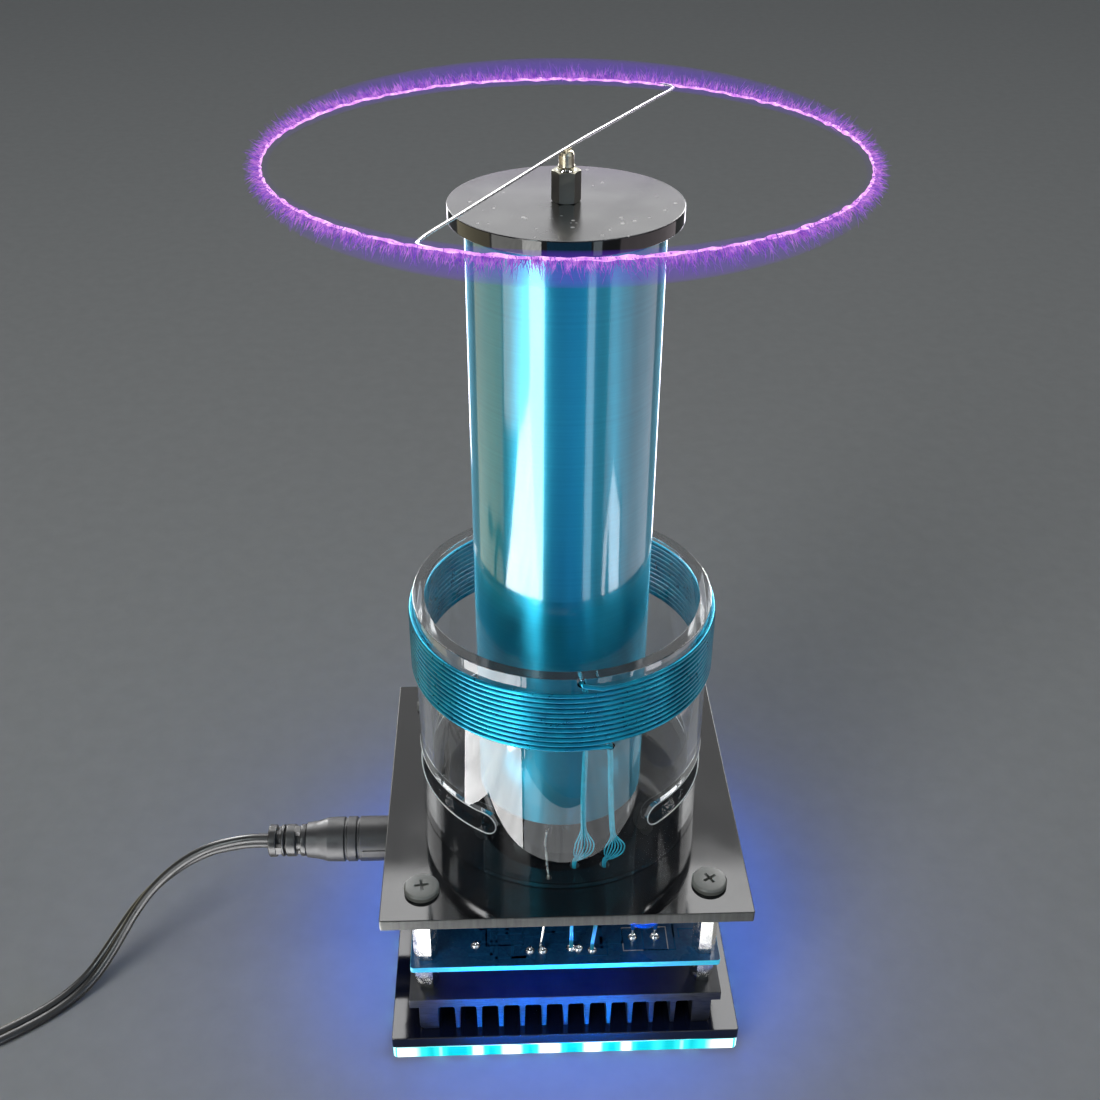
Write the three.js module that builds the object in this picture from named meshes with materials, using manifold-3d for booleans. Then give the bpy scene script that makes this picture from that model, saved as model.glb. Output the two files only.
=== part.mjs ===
// Desktop high-voltage coil with an ion rotor, in millimetres, +Z up.
// The origin is on the coil's axis, at the underside of the glowing base. -Y is the front.
import * as THREE from 'three';
import { mergeVertices } from 'three/addons/utils/BufferGeometryUtils.js';
import Module from 'manifold-3d';

const wasm = await Module();
wasm.setup();

// ---- Driving dimensions ----

const STACK_GAP = 0.05; // between faces that rest on each other
const CORNER = 33.5; // screws and standoffs stand at plus and minus this in X and Y
const SCREW_R = 1.42; // M3 shank
const SCREW_HOLE_R = 1.7;
const THREAD_HOLE_R = 1.6;
const HEX_FLATS = 5; // across the flats of every standoff

const GUIDE_SIDE = 84.7;
const GUIDE_THICK = 3.7;
const CHANNEL_Y = 39.3; // middle of the channel that holds the LED tape
const CHANNEL_LENGTH = 68;
const CHANNEL_WIDTH = 4;
const CHANNEL_FLOOR = 0.8;
const TAPE_LENGTH = 66;
const TAPE_WIDTH = 3.4;
const TAPE_THICK = 0.3;
const COUNTERBORE_R = 3.3;
const COUNTERBORE_DEPTH = 2.6;

const PLATE_CORNER_R = 0.6;
const BASE_SIDE = 84.7;
const BASE_BOTTOM = GUIDE_THICK + STACK_GAP;
const BASE_TOP = 6.9;

const SINK_WIDTH = 75.5;
const SINK_DEPTH = 79;
const SINK_TOP = 17.3;
const SINK_BASE_THICK = 2.7;
const SINK_BOTTOM = BASE_TOP + STACK_GAP;
const FIN_BLOCK_HALF = 35.5; // the finned block is narrower than the slab above it
const FIN_PITCH = 5.24;
const FIN_THICK = 1.25;
const FINS_EACH_SIDE = 5;
const EDGE_WALL_INNER = 30.9;

const BOARD_WIDTH = 74.2;
const BOARD_DEPTH = 76;
const BOARD_TOP = 27;
const BOARD_THICK = 1.6;
const BOARD_BOTTOM = BOARD_TOP - BOARD_THICK;

const TOP_SIDE = 85.7;
const TOP_THICK = 3;
const TOP_Z = 48.4;
const TOP_BOTTOM = TOP_Z - TOP_THICK;

const PRIMARY_R = 34.27;
const PRIMARY_BORE_R = 31.5;
const PRIMARY_TOP = 109.7;
const SLOT_LOW = 61.5;
const SLOT_HIGH = 67.5;
const SLOT_TURN = THREE.MathUtils.degToRad(2.75); // the slots are centred this far off the X axis
const SLOT_HALF_SPAN = THREE.MathUtils.degToRad(54.35);
const COIL_LOW = 91.1;
const COIL_HIGH = 107.4;
const COIL_R = 35.3;
const LEAD_R = 0.6;
const LEAD_HOLE_R = 0.9;

const SECONDARY_R = 20; // outside of the winding
const SECONDARY_TUBE_R = 19.7;
const SECONDARY_BORE_R = 17.5;
const SECONDARY_TOP = 197;
const WINDING_LOW = 56;
const WINDING_HIGH = 195.8;
const FINE_WIRE_R = 0.3;

const DISC_R = 23.2;
const DISC_TOP = 200.1;
const POST_HEIGHT = 6;
const NEEDLE_TIP = 209.15;

const HUB_R = 1.65;
const HUB_TOP = 209.9;
const ROTOR_WIRE_R = 0.3;
const ROTOR_TIP_R = 57.2;
const ROTOR_TIP_DROP = 0.75;
const ROTOR_TIP_BEND = 5;
const ROTOR_REST = THREE.MathUtils.degToRad(62);

const PLUG_Y = -1;
const PLUG_Z = 33.5;
const PLUG_R = 5.7;
const JACK_FACE = -37.6;
const PLUG_FACE = -38;
const PLUG_END = -64.7;
const PLUG_TAPER_START = 21.6; // from the plug's face
const RELIEF_R = 4.1;
const RELIEF_END = -74.5;
const CORD_WIDTH = 4.9; // flat twin cord
const CORD_THICK = 2.45;
const CORD_FLOOR_Z = CORD_THICK / 2 + 0.35; // the section rolls a little along the route

// ---- Materials ----

function plain(color, roughness, metalness = 0) {
  return new THREE.MeshStandardMaterial({ color, roughness, metalness });
}

const clearAcrylic = new THREE.MeshStandardMaterial({
  color: 0xdfe8ee, roughness: 0.05, transparent: true, opacity: 0.35,
});
const blackAcrylic = plain(0x08090a, 0.08);
const ledTape = plain(0xe8f6ff, 0.5);
const blackAnodised = plain(0x101214, 0.45, 0.6);
const zinc = plain(0xb8bcc0, 0.3, 1);
const blackSteel = plain(0x1a1b1d, 0.45, 0.8);
const nickel = plain(0xcfd0cc, 0.2, 1);
const blueBoard = plain(0x0b4f86, 0.35);
const blueWire = plain(0x1496bd, 0.35);
const enamel = plain(0x1880b0, 0.18, 0.6);
const tinnedWire = plain(0xd2d2ce, 0.3, 1);
const brass = plain(0xb99a55, 0.3, 1);
const blackPlastic = plain(0x141416, 0.55);
const blackRubber = plain(0x121213, 0.6);
const greyPad = plain(0xa8acae, 0.8);
const blueEpoxy = plain(0x1a63c8, 0.3);
const redFilm = plain(0x8f2a22, 0.4);
const blackSleeve = plain(0x17191d, 0.3);
const resistorBody = plain(0x8fb4c8, 0.45);

// ---- Building blocks ----

const coil = new THREE.Group();

function add(name, geometry, material, x = 0, y = 0, z = 0, turn = 0) {
  const mesh = new THREE.Mesh(geometry, material);
  mesh.name = name;
  mesh.position.set(x, y, z);
  mesh.rotation.z = turn;
  coil.add(mesh);
}

function solidOf(geometry) {
  const bare = geometry.clone();
  bare.deleteAttribute('normal');
  bare.deleteAttribute('uv');
  const merged = mergeVertices(bare, 1e-4);
  const corners = merged.index.array;
  const kept = [];
  for (let i = 0; i < corners.length; i += 3) {
    const [a, b, c] = [corners[i], corners[i + 1], corners[i + 2]];
    if (a !== b && b !== c && c !== a) {
      kept.push(a, b, c);
    }
  }
  return new wasm.Manifold(new wasm.Mesh({
    numProp: 3,
    vertProperties: new Float32Array(merged.attributes.position.array),
    triVerts: new Uint32Array(kept),
  }));
}

function geometryOf(solid) {
  const { vertProperties, triVerts } = solid.getMesh();
  const geometry = new THREE.BufferGeometry();
  geometry.setAttribute('position', new THREE.BufferAttribute(vertProperties, 3));
  geometry.setIndex(new THREE.BufferAttribute(triVerts, 1));
  geometry.computeVertexNormals();
  return geometry;
}

function cut(geometry, tools) {
  return geometryOf(tools.reduce((left, tool) => left.subtract(solidOf(tool)), solidOf(geometry)));
}

function join(geometries) {
  return geometryOf(geometries.map(solidOf).reduce((all, next) => all.add(next)));
}

function block(width, depth, height, x = 0, y = 0, z = 0) {
  return new THREE.BoxGeometry(width, depth, height).translate(x, y, z + height / 2);
}

// A solid of revolution about +Z. The profile runs anticlockwise as [radius, height].
function turned(profile, segments = 24) {
  const points = profile.map(([radius, height]) => new THREE.Vector2(radius, height));
  return new THREE.LatheGeometry(points, segments).rotateX(Math.PI / 2);
}

function rod(radius, low, high, segments = 12) {
  return turned([[0, low], [radius, low], [radius, high], [0, high]], segments);
}

function ring(inner, outer, low, high, segments = 44) {
  return turned([[inner, low], [outer, low], [outer, high], [inner, high], [inner, low]], segments);
}

function extruded(shape, depth, curveSegments = 6) {
  return new THREE.ExtrudeGeometry(shape, { depth, bevelEnabled: false, curveSegments });
}

function roundedSquare(side, radius) {
  const half = side / 2;
  const flat = half - radius;
  const shape = new THREE.Shape();
  shape.moveTo(-flat, -half);
  shape.absarc(flat, -flat, radius, -Math.PI / 2, 0);
  shape.absarc(flat, flat, radius, 0, Math.PI / 2);
  shape.absarc(-flat, flat, radius, Math.PI / 2, Math.PI);
  shape.absarc(-flat, -flat, radius, Math.PI, 1.5 * Math.PI);
  return shape;
}

// A hexagon with a flat facing the front.
function hexagon(flats) {
  const radius = flats / Math.sqrt(3);
  const shape = new THREE.Shape();
  for (let i = 0; i < 6; i += 1) {
    const angle = i * (Math.PI / 3);
    shape.lineTo(radius * Math.cos(angle), radius * Math.sin(angle));
  }
  return shape;
}

function atCorners(make) {
  const places = [['front_left', -1, -1], ['front_right', 1, -1], ['back_right', 1, 1], ['back_left', -1, 1]];
  for (const [label, sideX, sideY] of places) {
    make(label, sideX * CORNER, sideY * CORNER);
  }
}

function cornerHoles(radius, low, high) {
  const holes = [];
  atCorners((label, x, y) => holes.push(rod(radius, low, high).translate(x, y, 0)));
  return holes;
}

function smooth(points) {
  return new THREE.CatmullRomCurve3(points.map((point) => new THREE.Vector3(...point)), false, 'centripetal');
}

// A tube of an oval section along a curve: its first width is along the curve's normal.
function along(curve, normalWidth, otherWidth, steps, sides) {
  const shape = new THREE.Shape();
  for (let i = 0; i < sides; i += 1) {
    const angle = (i + 0.5) * ((2 * Math.PI) / sides);
    shape.lineTo((normalWidth / 2) * Math.cos(angle), (otherWidth / 2) * Math.sin(angle));
  }
  return new THREE.ExtrudeGeometry(shape, { steps, extrudePath: curve, bevelEnabled: false });
}

function wire(curve, radius, steps) {
  return along(curve, 2 * radius, 2 * radius, steps, 6);
}

// ---- Glowing foot: light guide and LED tape ----

function channels() {
  const cuts = [];
  for (let side = 0; side < 4; side += 1) {
    const channel = block(CHANNEL_LENGTH, CHANNEL_WIDTH, GUIDE_THICK, 0, -CHANNEL_Y, CHANNEL_FLOOR);
    cuts.push(channel.rotateZ(side * (Math.PI / 2)));
  }
  return cuts;
}

add('light_guide_plate', cut(extruded(roundedSquare(GUIDE_SIDE, 1.2), GUIDE_THICK, 3), [
  ...channels(),
  ...cornerHoles(SCREW_HOLE_R, -1, GUIDE_THICK + 1),
  ...cornerHoles(COUNTERBORE_R, -1, COUNTERBORE_DEPTH),
]), clearAcrylic);

// The tape is two lengths of four LEDs, end to end. Each LED shines outwards.
function ledTapeStrip() {
  const tape = block(TAPE_LENGTH, TAPE_WIDTH, TAPE_THICK);
  const lengths = [{ first: -30.8, pitch: 9 }, { first: 6.6, pitch: 8 }];
  const ledsEach = 4;
  const leds = [];
  for (const { first, pitch } of lengths) {
    for (let i = 0; i < ledsEach; i += 1) {
      leds.push(block(3, 1.6, 1.4, first + i * pitch, -0.6, 0.1));
    }
  }
  return join([tape, ...leds]);
}

['front', 'right', 'back', 'left'].forEach((label, side) => {
  const turn = side * (Math.PI / 2);
  const x = CHANNEL_Y * Math.sin(turn);
  const y = -CHANNEL_Y * Math.cos(turn);
  add(`led_tape_${label}`, ledTapeStrip(), ledTape, x, y, CHANNEL_FLOOR + STACK_GAP, turn);
});

// ---- Base plate, heat sink and their screws ----

const LED_LEAD_Y = 40.5;

add('base_plate', cut(
  extruded(roundedSquare(BASE_SIDE, PLATE_CORNER_R), BASE_TOP - BASE_BOTTOM, 2).translate(0, 0, BASE_BOTTOM),
  [...cornerHoles(SCREW_HOLE_R, 0, 10), rod(LEAD_HOLE_R, 0, 10).translate(0, LED_LEAD_Y, 0)],
), blackAcrylic);

function heatSinkOutline() {
  const half = SINK_WIDTH / 2;
  const slabBottom = SINK_TOP - SINK_BASE_THICK;
  const foot = 1.5;
  const shape = new THREE.Shape();
  shape.moveTo(half, slabBottom);
  shape.lineTo(half, SINK_TOP);
  shape.lineTo(-half, SINK_TOP);
  shape.lineTo(-half, slabBottom);
  shape.lineTo(-FIN_BLOCK_HALF, slabBottom);
  shape.absarc(-FIN_BLOCK_HALF + foot, SINK_BOTTOM + foot, foot, Math.PI, 1.5 * Math.PI);
  shape.lineTo(-EDGE_WALL_INNER, SINK_BOTTOM);
  shape.lineTo(-EDGE_WALL_INNER, slabBottom);
  for (let i = -FINS_EACH_SIDE; i <= FINS_EACH_SIDE; i += 1) {
    const left = i * FIN_PITCH - FIN_THICK / 2;
    const right = left + FIN_THICK;
    shape.lineTo(left, slabBottom);
    shape.lineTo(left, SINK_BOTTOM);
    shape.lineTo(right, SINK_BOTTOM);
    shape.lineTo(right, slabBottom);
  }
  shape.lineTo(EDGE_WALL_INNER, slabBottom);
  shape.lineTo(EDGE_WALL_INNER, SINK_BOTTOM);
  shape.absarc(FIN_BLOCK_HALF - foot, SINK_BOTTOM + foot, foot, 1.5 * Math.PI, 2 * Math.PI);
  shape.lineTo(FIN_BLOCK_HALF, slabBottom);
  return shape;
}

const TRANSISTOR_X = 15;
const TAB_HOLE_Y = 4;
const TRANSISTOR_SCREW_R = 1.25;
const TRANSISTOR_SCREW_HOLE_R = 1.45;

const heatSink = extruded(heatSinkOutline(), SINK_DEPTH, 3).rotateX(Math.PI / 2);
add('heat_sink', cut(heatSink.translate(0, SINK_DEPTH / 2, 0), [
  ...cornerHoles(SCREW_HOLE_R, 0, 20),
  ...[-TRANSISTOR_X, TRANSISTOR_X].map((x) => rod(TRANSISTOR_SCREW_HOLE_R, 10, 20).translate(x, TAB_HOLE_Y, 0)),
]), blackAnodised);

// A pan head screw whose head rests on z = 0 and whose shank points down, with a cross recess.
function panScrew(headR, headHeight, shankR, length, recess) {
  const body = turned([
    [0, -length], [shankR, -length], [shankR, 0], [headR, 0], [headR, headHeight * 0.5],
    [headR * 0.8, headHeight], [0, headHeight],
  ], 12);
  const depth = headHeight * 0.6;
  const slots = [block(recess, recess / 4, depth + 1), block(recess / 4, recess, depth + 1)];
  return cut(body, slots.map((slot) => slot.translate(0, 0, headHeight - depth)));
}

const BASE_SCREW_LENGTH = 20;

atCorners((label, x, y) => {
  const screw = panScrew(2.8, 1.9, SCREW_R, BASE_SCREW_LENGTH, 3).rotateX(Math.PI);
  add(`base_screw_${label}`, screw, zinc, x, y, COUNTERBORE_DEPTH - STACK_GAP);
});

// ---- Standoffs, circuit board and top plate ----

const STUD_HEIGHT = 5.6;
const THREAD_DEPTH = 5.6;
const STANDOFF_LOW = SINK_TOP + STACK_GAP;
const STANDOFF_HEIGHT = BOARD_BOTTOM - STACK_GAP - STANDOFF_LOW;
const SPACER_LOW = BOARD_TOP + STACK_GAP;

function lowerStandoff() {
  const body = join([
    extruded(hexagon(HEX_FLATS), STANDOFF_HEIGHT),
    rod(SCREW_R, STANDOFF_HEIGHT - 0.5, STANDOFF_HEIGHT + STUD_HEIGHT),
  ]);
  return cut(body, [rod(THREAD_HOLE_R, -1, THREAD_DEPTH)]);
}

function hexSpacer(height) {
  return cut(extruded(hexagon(HEX_FLATS), height), [rod(THREAD_HOLE_R, -1, height + 1)]);
}

atCorners((label, x, y) => {
  add(`lower_standoff_${label}`, lowerStandoff(), nickel, x, y, STANDOFF_LOW);
  add(`upper_standoff_${label}`, hexSpacer(TOP_BOTTOM - STACK_GAP - SPACER_LOW), nickel, x, y, SPACER_LOW);
});

add('circuit_board', cut(
  block(BOARD_WIDTH, BOARD_DEPTH, BOARD_THICK, 0, 0, BOARD_BOTTOM),
  cornerHoles(SCREW_HOLE_R, 20, 30),
), blueBoard);

const START_LEAD_HOLE = [2.3, -25.5];
const END_LEAD_HOLE = [9.2, -25.4];
const GROUND_HOLE = [-3.8, -29.2];

add('top_plate', cut(
  extruded(roundedSquare(TOP_SIDE, PLATE_CORNER_R), TOP_THICK, 2).translate(0, 0, TOP_BOTTOM),
  [
    ...cornerHoles(SCREW_HOLE_R, 40, 50),
    ...[START_LEAD_HOLE, END_LEAD_HOLE].map(([x, y]) => rod(LEAD_HOLE_R + 0.1, 40, 50).translate(x, y, 0)),
    rod(FINE_WIRE_R + 0.3, 40, 50, 8).translate(...GROUND_HOLE, 0),
  ],
), blackAcrylic);

atCorners((label, x, y) => {
  add(`top_screw_${label}`, panScrew(4.1, 1.5, SCREW_R, 10, 3.4), blackSteel, x, y, TOP_Z + STACK_GAP);
});

// ---- Parts on the circuit board and on the heat sink ----

const BARREL_R = 2.7; // of the plug, inside the jack
const BARREL_BORE_R = 1.25;
const BARREL_LENGTH = 9.6;

function jack() {
  const length = 14;
  const centreZ = PLUG_Z - BOARD_TOP - STACK_GAP;
  const body = block(length, 9, 11, length / 2, 0, 0);
  const bore = rod(BARREL_R + 0.45, -1, BARREL_LENGTH + 0.9, 20).rotateY(Math.PI / 2).translate(0, 0, centreZ);
  const pin = rod(BARREL_BORE_R - 0.3, 1.5, BARREL_LENGTH + 1.4).rotateY(Math.PI / 2).translate(0, 0, centreZ);
  return join([cut(body, [bore]), pin]);
}

add('dc_jack', jack(), blackPlastic, JACK_FACE, PLUG_Y, BOARD_TOP + STACK_GAP);

// A flat power transistor with its tab hole at x = y = 0. Its legs run back and up to the board.
const PAD_THICK = 0.3;
const PAD_Z = SINK_TOP + STACK_GAP;
const TAB_Z = PAD_Z + PAD_THICK + STACK_GAP;
const TAB_THICK = 1.3;

const TAB_HOLE_R = 1.8;
const LEG_PITCH = 2.54;

function transistor() {
  const legTop = BOARD_BOTTOM - 0.3 - TAB_Z;
  const legZ = 2.4;
  const pieces = [block(10.2, 15.4, TAB_THICK, 0, 4.6, 0), block(10.2, 9.2, 4.4, 0, 7.8, 0)];
  for (const x of [-LEG_PITCH, 0, LEG_PITCH]) {
    pieces.push(block(0.8, 4.4, 0.6, x, 14.4, legZ));
    pieces.push(block(0.8, 0.6, legTop - legZ, x, 16.3, legZ));
  }
  return cut(join(pieces), [rod(TAB_HOLE_R, -1, 6)]);
}

[['left', -TRANSISTOR_X], ['right', TRANSISTOR_X]].forEach(([label, x]) => {
  const pad = cut(block(12, 18, PAD_THICK, 0, 4.6, 0), [rod(TAB_HOLE_R, -1, 1)]);
  add(`thermal_pad_${label}`, pad, greyPad, x, TAB_HOLE_Y, PAD_Z);
  add(`power_transistor_${label}`, transistor(), blackPlastic, x, TAB_HOLE_Y, TAB_Z);
  const screw = panScrew(2.6, 1.9, TRANSISTOR_SCREW_R, 4.2, 2.6);
  add(`transistor_screw_${label}`, screw, zinc, x, TAB_HOLE_Y, TAB_Z + TAB_THICK + STACK_GAP);
});

const ON_BOARD = BOARD_TOP + STACK_GAP;
add('bulk_capacitor', turned([
  [0, 0], [5, 0], [5, 1.4], [4.7, 1.8], [5, 2.2], [5, 15.6], [0, 15.6],
], 20), blackSleeve, -22, 21, ON_BOARD);
add('film_capacitor', block(13, 5.6, 10.5), redFilm, 20, 18, ON_BOARD);
add('driver_chip', block(9.6, 6.4, 3.6), blackPlastic, -2, -16, ON_BOARD);
add('small_capacitor', join([
  new THREE.SphereGeometry(1, 12, 8).scale(3.4, 1.6, 3).translate(0, 0, 6.2),
  rod(0.35, 0, 5, 8).translate(-2.7, 0, 0),
  rod(0.35, 0, 5, 8).translate(2.7, 0, 0),
]), blueEpoxy, 19.3, -30.2, ON_BOARD);
add('resistor', turned([
  [0, -6.5], [0.35, -6.5], [0.35, -3.2], [1.2, -3], [1.2, -1.9], [1, -1.6],
  [1, 1.6], [1.2, 1.9], [1.2, 3], [0.35, 3.2], [0.35, 6.5], [0, 6.5],
], 12).rotateX(Math.PI / 2), resistorBody, 18, 0, ON_BOARD + 1.3);

const ledLead = smooth([
  [0, 36.2, 28.1], [0, 38, 28.5], [0, 39.8, 27.9], [0, 40.5, 25.5], [0, LED_LEAD_Y, 15],
  [0, LED_LEAD_Y, 7], [0, LED_LEAD_Y, 2.2],
]);
add('led_lead', wire(ledLead, 0.55, 14), blackRubber);

// ---- Primary: clear tube, winding and its two leads ----

// One slot through the wall, centred on +X, with round ends.
function slotCutter() {
  const middle = (SLOT_LOW + SLOT_HIGH) / 2;
  const endR = (SLOT_HIGH - SLOT_LOW) / 2;
  const shape = new THREE.Shape();
  shape.absarc(0, 0, PRIMARY_R + 2, -SLOT_HALF_SPAN, SLOT_HALF_SPAN, false);
  shape.absarc(0, 0, PRIMARY_BORE_R - 2, SLOT_HALF_SPAN, -SLOT_HALF_SPAN, true);
  const pieces = [extruded(shape, SLOT_HIGH - SLOT_LOW, 16).translate(0, 0, SLOT_LOW)];
  for (const side of [-1, 1]) {
    const end = rod(endR, PRIMARY_BORE_R - 2, PRIMARY_R + 2).rotateY(Math.PI / 2);
    pieces.push(end.rotateZ(side * SLOT_HALF_SPAN).translate(0, 0, middle));
  }
  return join(pieces);
}

const START_LEAD_Z = 108.35;
const END_LEAD_Z = 90.2;
const START_LEAD_AZ = Math.atan2(-34.2, 2.6);
const END_LEAD_AZ = Math.atan2(-33.2, 9.5);

function wallHole(azimuth, z, radius, from, to) {
  return rod(radius, from, to, 8).rotateY(Math.PI / 2).rotateZ(azimuth).translate(0, 0, z);
}

add('primary_tube', cut(ring(PRIMARY_BORE_R, PRIMARY_R, TOP_Z + STACK_GAP, PRIMARY_TOP, 52), [
  slotCutter().rotateZ(SLOT_TURN),
  slotCutter().rotateZ(SLOT_TURN + Math.PI),
  wallHole(START_LEAD_AZ, START_LEAD_Z, LEAD_HOLE_R, 28, 38),
  wallHole(END_LEAD_AZ, END_LEAD_Z, LEAD_HOLE_R, 28, 38),
]), clearAcrylic);

add('primary_winding', ring(PRIMARY_R + 0.13, COIL_R, COIL_LOW, COIL_HIGH, 52), blueWire);

function polar(radius, azimuth, z) {
  return [radius * Math.cos(azimuth), radius * Math.sin(azimuth), z];
}

const startLead = smooth([
  polar(35, START_LEAD_AZ, START_LEAD_Z), polar(33, START_LEAD_AZ, START_LEAD_Z),
  polar(31, START_LEAD_AZ, START_LEAD_Z - 0.1), [2.9, -30.1, 107], [3.6, -30, 103], [3.6, -30, 88],
  [3, -29.6, 72], [2.5, -28.8, 60], [2.3, -26.6, 53], [...START_LEAD_HOLE, 50], [...START_LEAD_HOLE, 44],
  [2.1, -27.5, 40], [1.6, -32, 34], [1.5, -33.1, 30], [1.5, -33.1, 27.35],
]);
add('primary_lead_start', wire(startLead, LEAD_R, 40), blueWire);

const endLead = smooth([
  polar(35.2, END_LEAD_AZ, END_LEAD_Z), polar(33, END_LEAD_AZ, END_LEAD_Z),
  polar(31, END_LEAD_AZ, END_LEAD_Z - 0.1), [8.8, -28.8, 89], [9.3, -28.7, 85], [9.7, -28.3, 74],
  [9.9, -28, 62], [9.4, -26.2, 53], [...END_LEAD_HOLE, 50], [...END_LEAD_HOLE, 44],
  [8.8, -27.5, 40], [7.2, -32.8, 34], [6.5, -33.9, 30], [6.5, -33.9, 27.35],
]);
add('primary_lead_end', wire(endLead, LEAD_R, 34), blueWire);

// ---- Secondary: tube, fine winding, its two ends, top disc ----

const ANCHOR_Z = 53.8;
const ANCHOR_AZIMUTHS = [Math.atan2(-19.6, -3.9), Math.atan2(-20, 0.3)];
const TOP_LEAD_Z = 194.4;

add('secondary_tube', cut(ring(SECONDARY_BORE_R, SECONDARY_TUBE_R, TOP_Z + STACK_GAP, SECONDARY_TOP), [
  ...ANCHOR_AZIMUTHS.map((azimuth) => wallHole(azimuth, ANCHOR_Z, 0.8, 15, 22)),
  wallHole(Math.PI / 2, TOP_LEAD_Z, 0.7, 15, 22),
]), clearAcrylic);

add('secondary_winding', ring(SECONDARY_TUBE_R + 0.05, SECONDARY_R, WINDING_LOW, WINDING_HIGH), enamel);

const groundLead = smooth([
  polar(17.6, ANCHOR_AZIMUTHS[0], ANCHOR_Z), polar(20.5, ANCHOR_AZIMUTHS[0], ANCHOR_Z - 0.1),
  [-4.4, -21.6, 52.2], [-4.2, -22.6, 49.8], [-4.1, -24, 48.95], [-4, -26, 48.85], [-3.9, -28.2, 48.9],
  [...GROUND_HOLE, 47.8], [...GROUND_HOLE, 44], [-4.4, -31, 38], [-5.6, -33.2, 31], [-6, -33.5, 27.35],
]);
add('ground_lead', wire(groundLead, FINE_WIRE_R, 30), tinnedWire);

const topLead = smooth([
  [0, 19.4, TOP_LEAD_Z], [0, 17.6, TOP_LEAD_Z], [0, 14, 193.2], [0, 8, 192.6], [0, 3.5, 193.2], [0, 1.6, 194.3],
]);
add('top_lead', wire(topLead, FINE_WIRE_R, 12), tinnedWire);

add('top_disc', cut(rod(DISC_R, SECONDARY_TOP + STACK_GAP, DISC_TOP, 48), [rod(SCREW_HOLE_R, 190, 210)]),
  blackAcrylic);

add('disc_screw', panScrew(2.7, 1.8, SCREW_R, 6, 2.8).rotateX(Math.PI), zinc, 0, 0, SECONDARY_TOP - STACK_GAP);

add('hex_post', hexSpacer(POST_HEIGHT), nickel, 0, 0, DISC_TOP + STACK_GAP);

add('pivot_needle', turned([
  [0, 203.4], [SCREW_R, 203.4], [SCREW_R, 205.5], [0.55, 206], [0.55, 207.2], [0, NEEDLE_TIP],
], 16), zinc);

// ---- Ion rotor: cup on the needle and one bent wire ----

add('rotor_hub', turned([
  [0, 209.35], [0.95, 208.3], [0.95, 206.6], [HUB_R, 206.6], [HUB_R, 209.3], [1.1, HUB_TOP], [0, HUB_TOP],
], 20), brass);

function rotorWire() {
  const centreZ = HUB_TOP + STACK_GAP + ROTOR_WIRE_R;
  const half = [
    [8, 0, 0.02], [24, 0, 0.25], [42, 0, 0.5], [54, 0, 0.68],
    [56.6, 0.7, 0.73], [ROTOR_TIP_R, 2.6, ROTOR_TIP_DROP], [ROTOR_TIP_R, ROTOR_TIP_BEND, ROTOR_TIP_DROP],
  ];
  const near = half.map(([x, y, drop]) => [x, y, centreZ - drop]);
  const far = half.map(([x, y, drop]) => [-x, -y, centreZ - drop]).reverse();
  return wire(smooth([...far, [0, 0, centreZ], ...near]), ROTOR_WIRE_R, 40);
}

add('rotor_wire', rotorWire(), tinnedWire, 0, 0, 0, ROTOR_REST);

// ---- DC plug and its lead ----

// The plug's solids are turned about +Z and then laid along -X.
function laidBack(geometry) {
  return geometry.rotateY(-Math.PI / 2);
}

const plugLength = PLUG_FACE - PLUG_END;
const reliefStart = PLUG_END - 0.3;
add('dc_plug', laidBack(turned([
  [BARREL_BORE_R, -BARREL_LENGTH], [BARREL_R, -BARREL_LENGTH], [BARREL_R, 0], [PLUG_R, 0],
  [PLUG_R, PLUG_TAPER_START], [RELIEF_R, plugLength], [0, plugLength], [0, 1], [BARREL_BORE_R, 1],
  [BARREL_BORE_R, -BARREL_LENGTH],
], 20)), blackPlastic, PLUG_FACE, PLUG_Y, PLUG_Z);

function strainRelief() {
  const profile = [[0, 0], [RELIEF_R, 0]];
  const grooveR = RELIEF_R - 1;
  for (const groove of [1.4, 6.4]) {
    const end = groove + 1.3;
    profile.push([RELIEF_R, groove], [grooveR, groove], [grooveR, end], [RELIEF_R, end]);
  }
  const length = reliefStart - RELIEF_END;
  profile.push([RELIEF_R, length], [0, length]);
  return laidBack(turned(profile, 12));
}

add('plug_strain_relief', strainRelief(), blackRubber, reliefStart, PLUG_Y, PLUG_Z);

const BUNDLE_R = 27.5; // mean radius of the wound lead
const BUNDLE_HALF_WIDTH = CORD_WIDTH + 0.3;
const BUNDLE_LOW = 1.1;
const BUNDLE_HIGH = BUNDLE_LOW + 3 * CORD_THICK + 0.4;
const BUNDLE_X = -192;
const BUNDLE_Y = -14;

const leadRoute = smooth([
  [RELIEF_END - 0.3, -1, 33.5], [-79, -1, 33.5], [-84, -1.1, 32.8], [-90, -1.4, 31.2], [-95.6, -2.2, 28.6],
  [-101, -3.6, 25.1], [-106, -5.5, 20.9], [-110.3, -8, 16.3], [-114, -11, 11.6], [-117.6, -14.6, 7.2],
  [-121.4, -18.5, 3.7], [-125.6, -22.6, 1.9], [-130, -26.6, CORD_FLOOR_Z], [-135, -30.6, CORD_FLOOR_Z],
  [-141, -34.6, CORD_FLOOR_Z], [-148, -38.2, CORD_FLOOR_Z], [-156, -41.2, 1.5], [-165, -43.2, 1.9],
  [-173, -43.9, 2.3], [-180, -44, 2.5],
]);
const bundleSpace = ring(
  BUNDLE_R - BUNDLE_HALF_WIDTH - 0.3, BUNDLE_R + BUNDLE_HALF_WIDTH + 0.3, 0, BUNDLE_HIGH + 3,
).translate(BUNDLE_X, BUNDLE_Y, 0);
add('power_cord', cut(along(leadRoute, CORD_WIDTH, CORD_THICK, 32, 8), [bundleSpace]), blackRubber);

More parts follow.
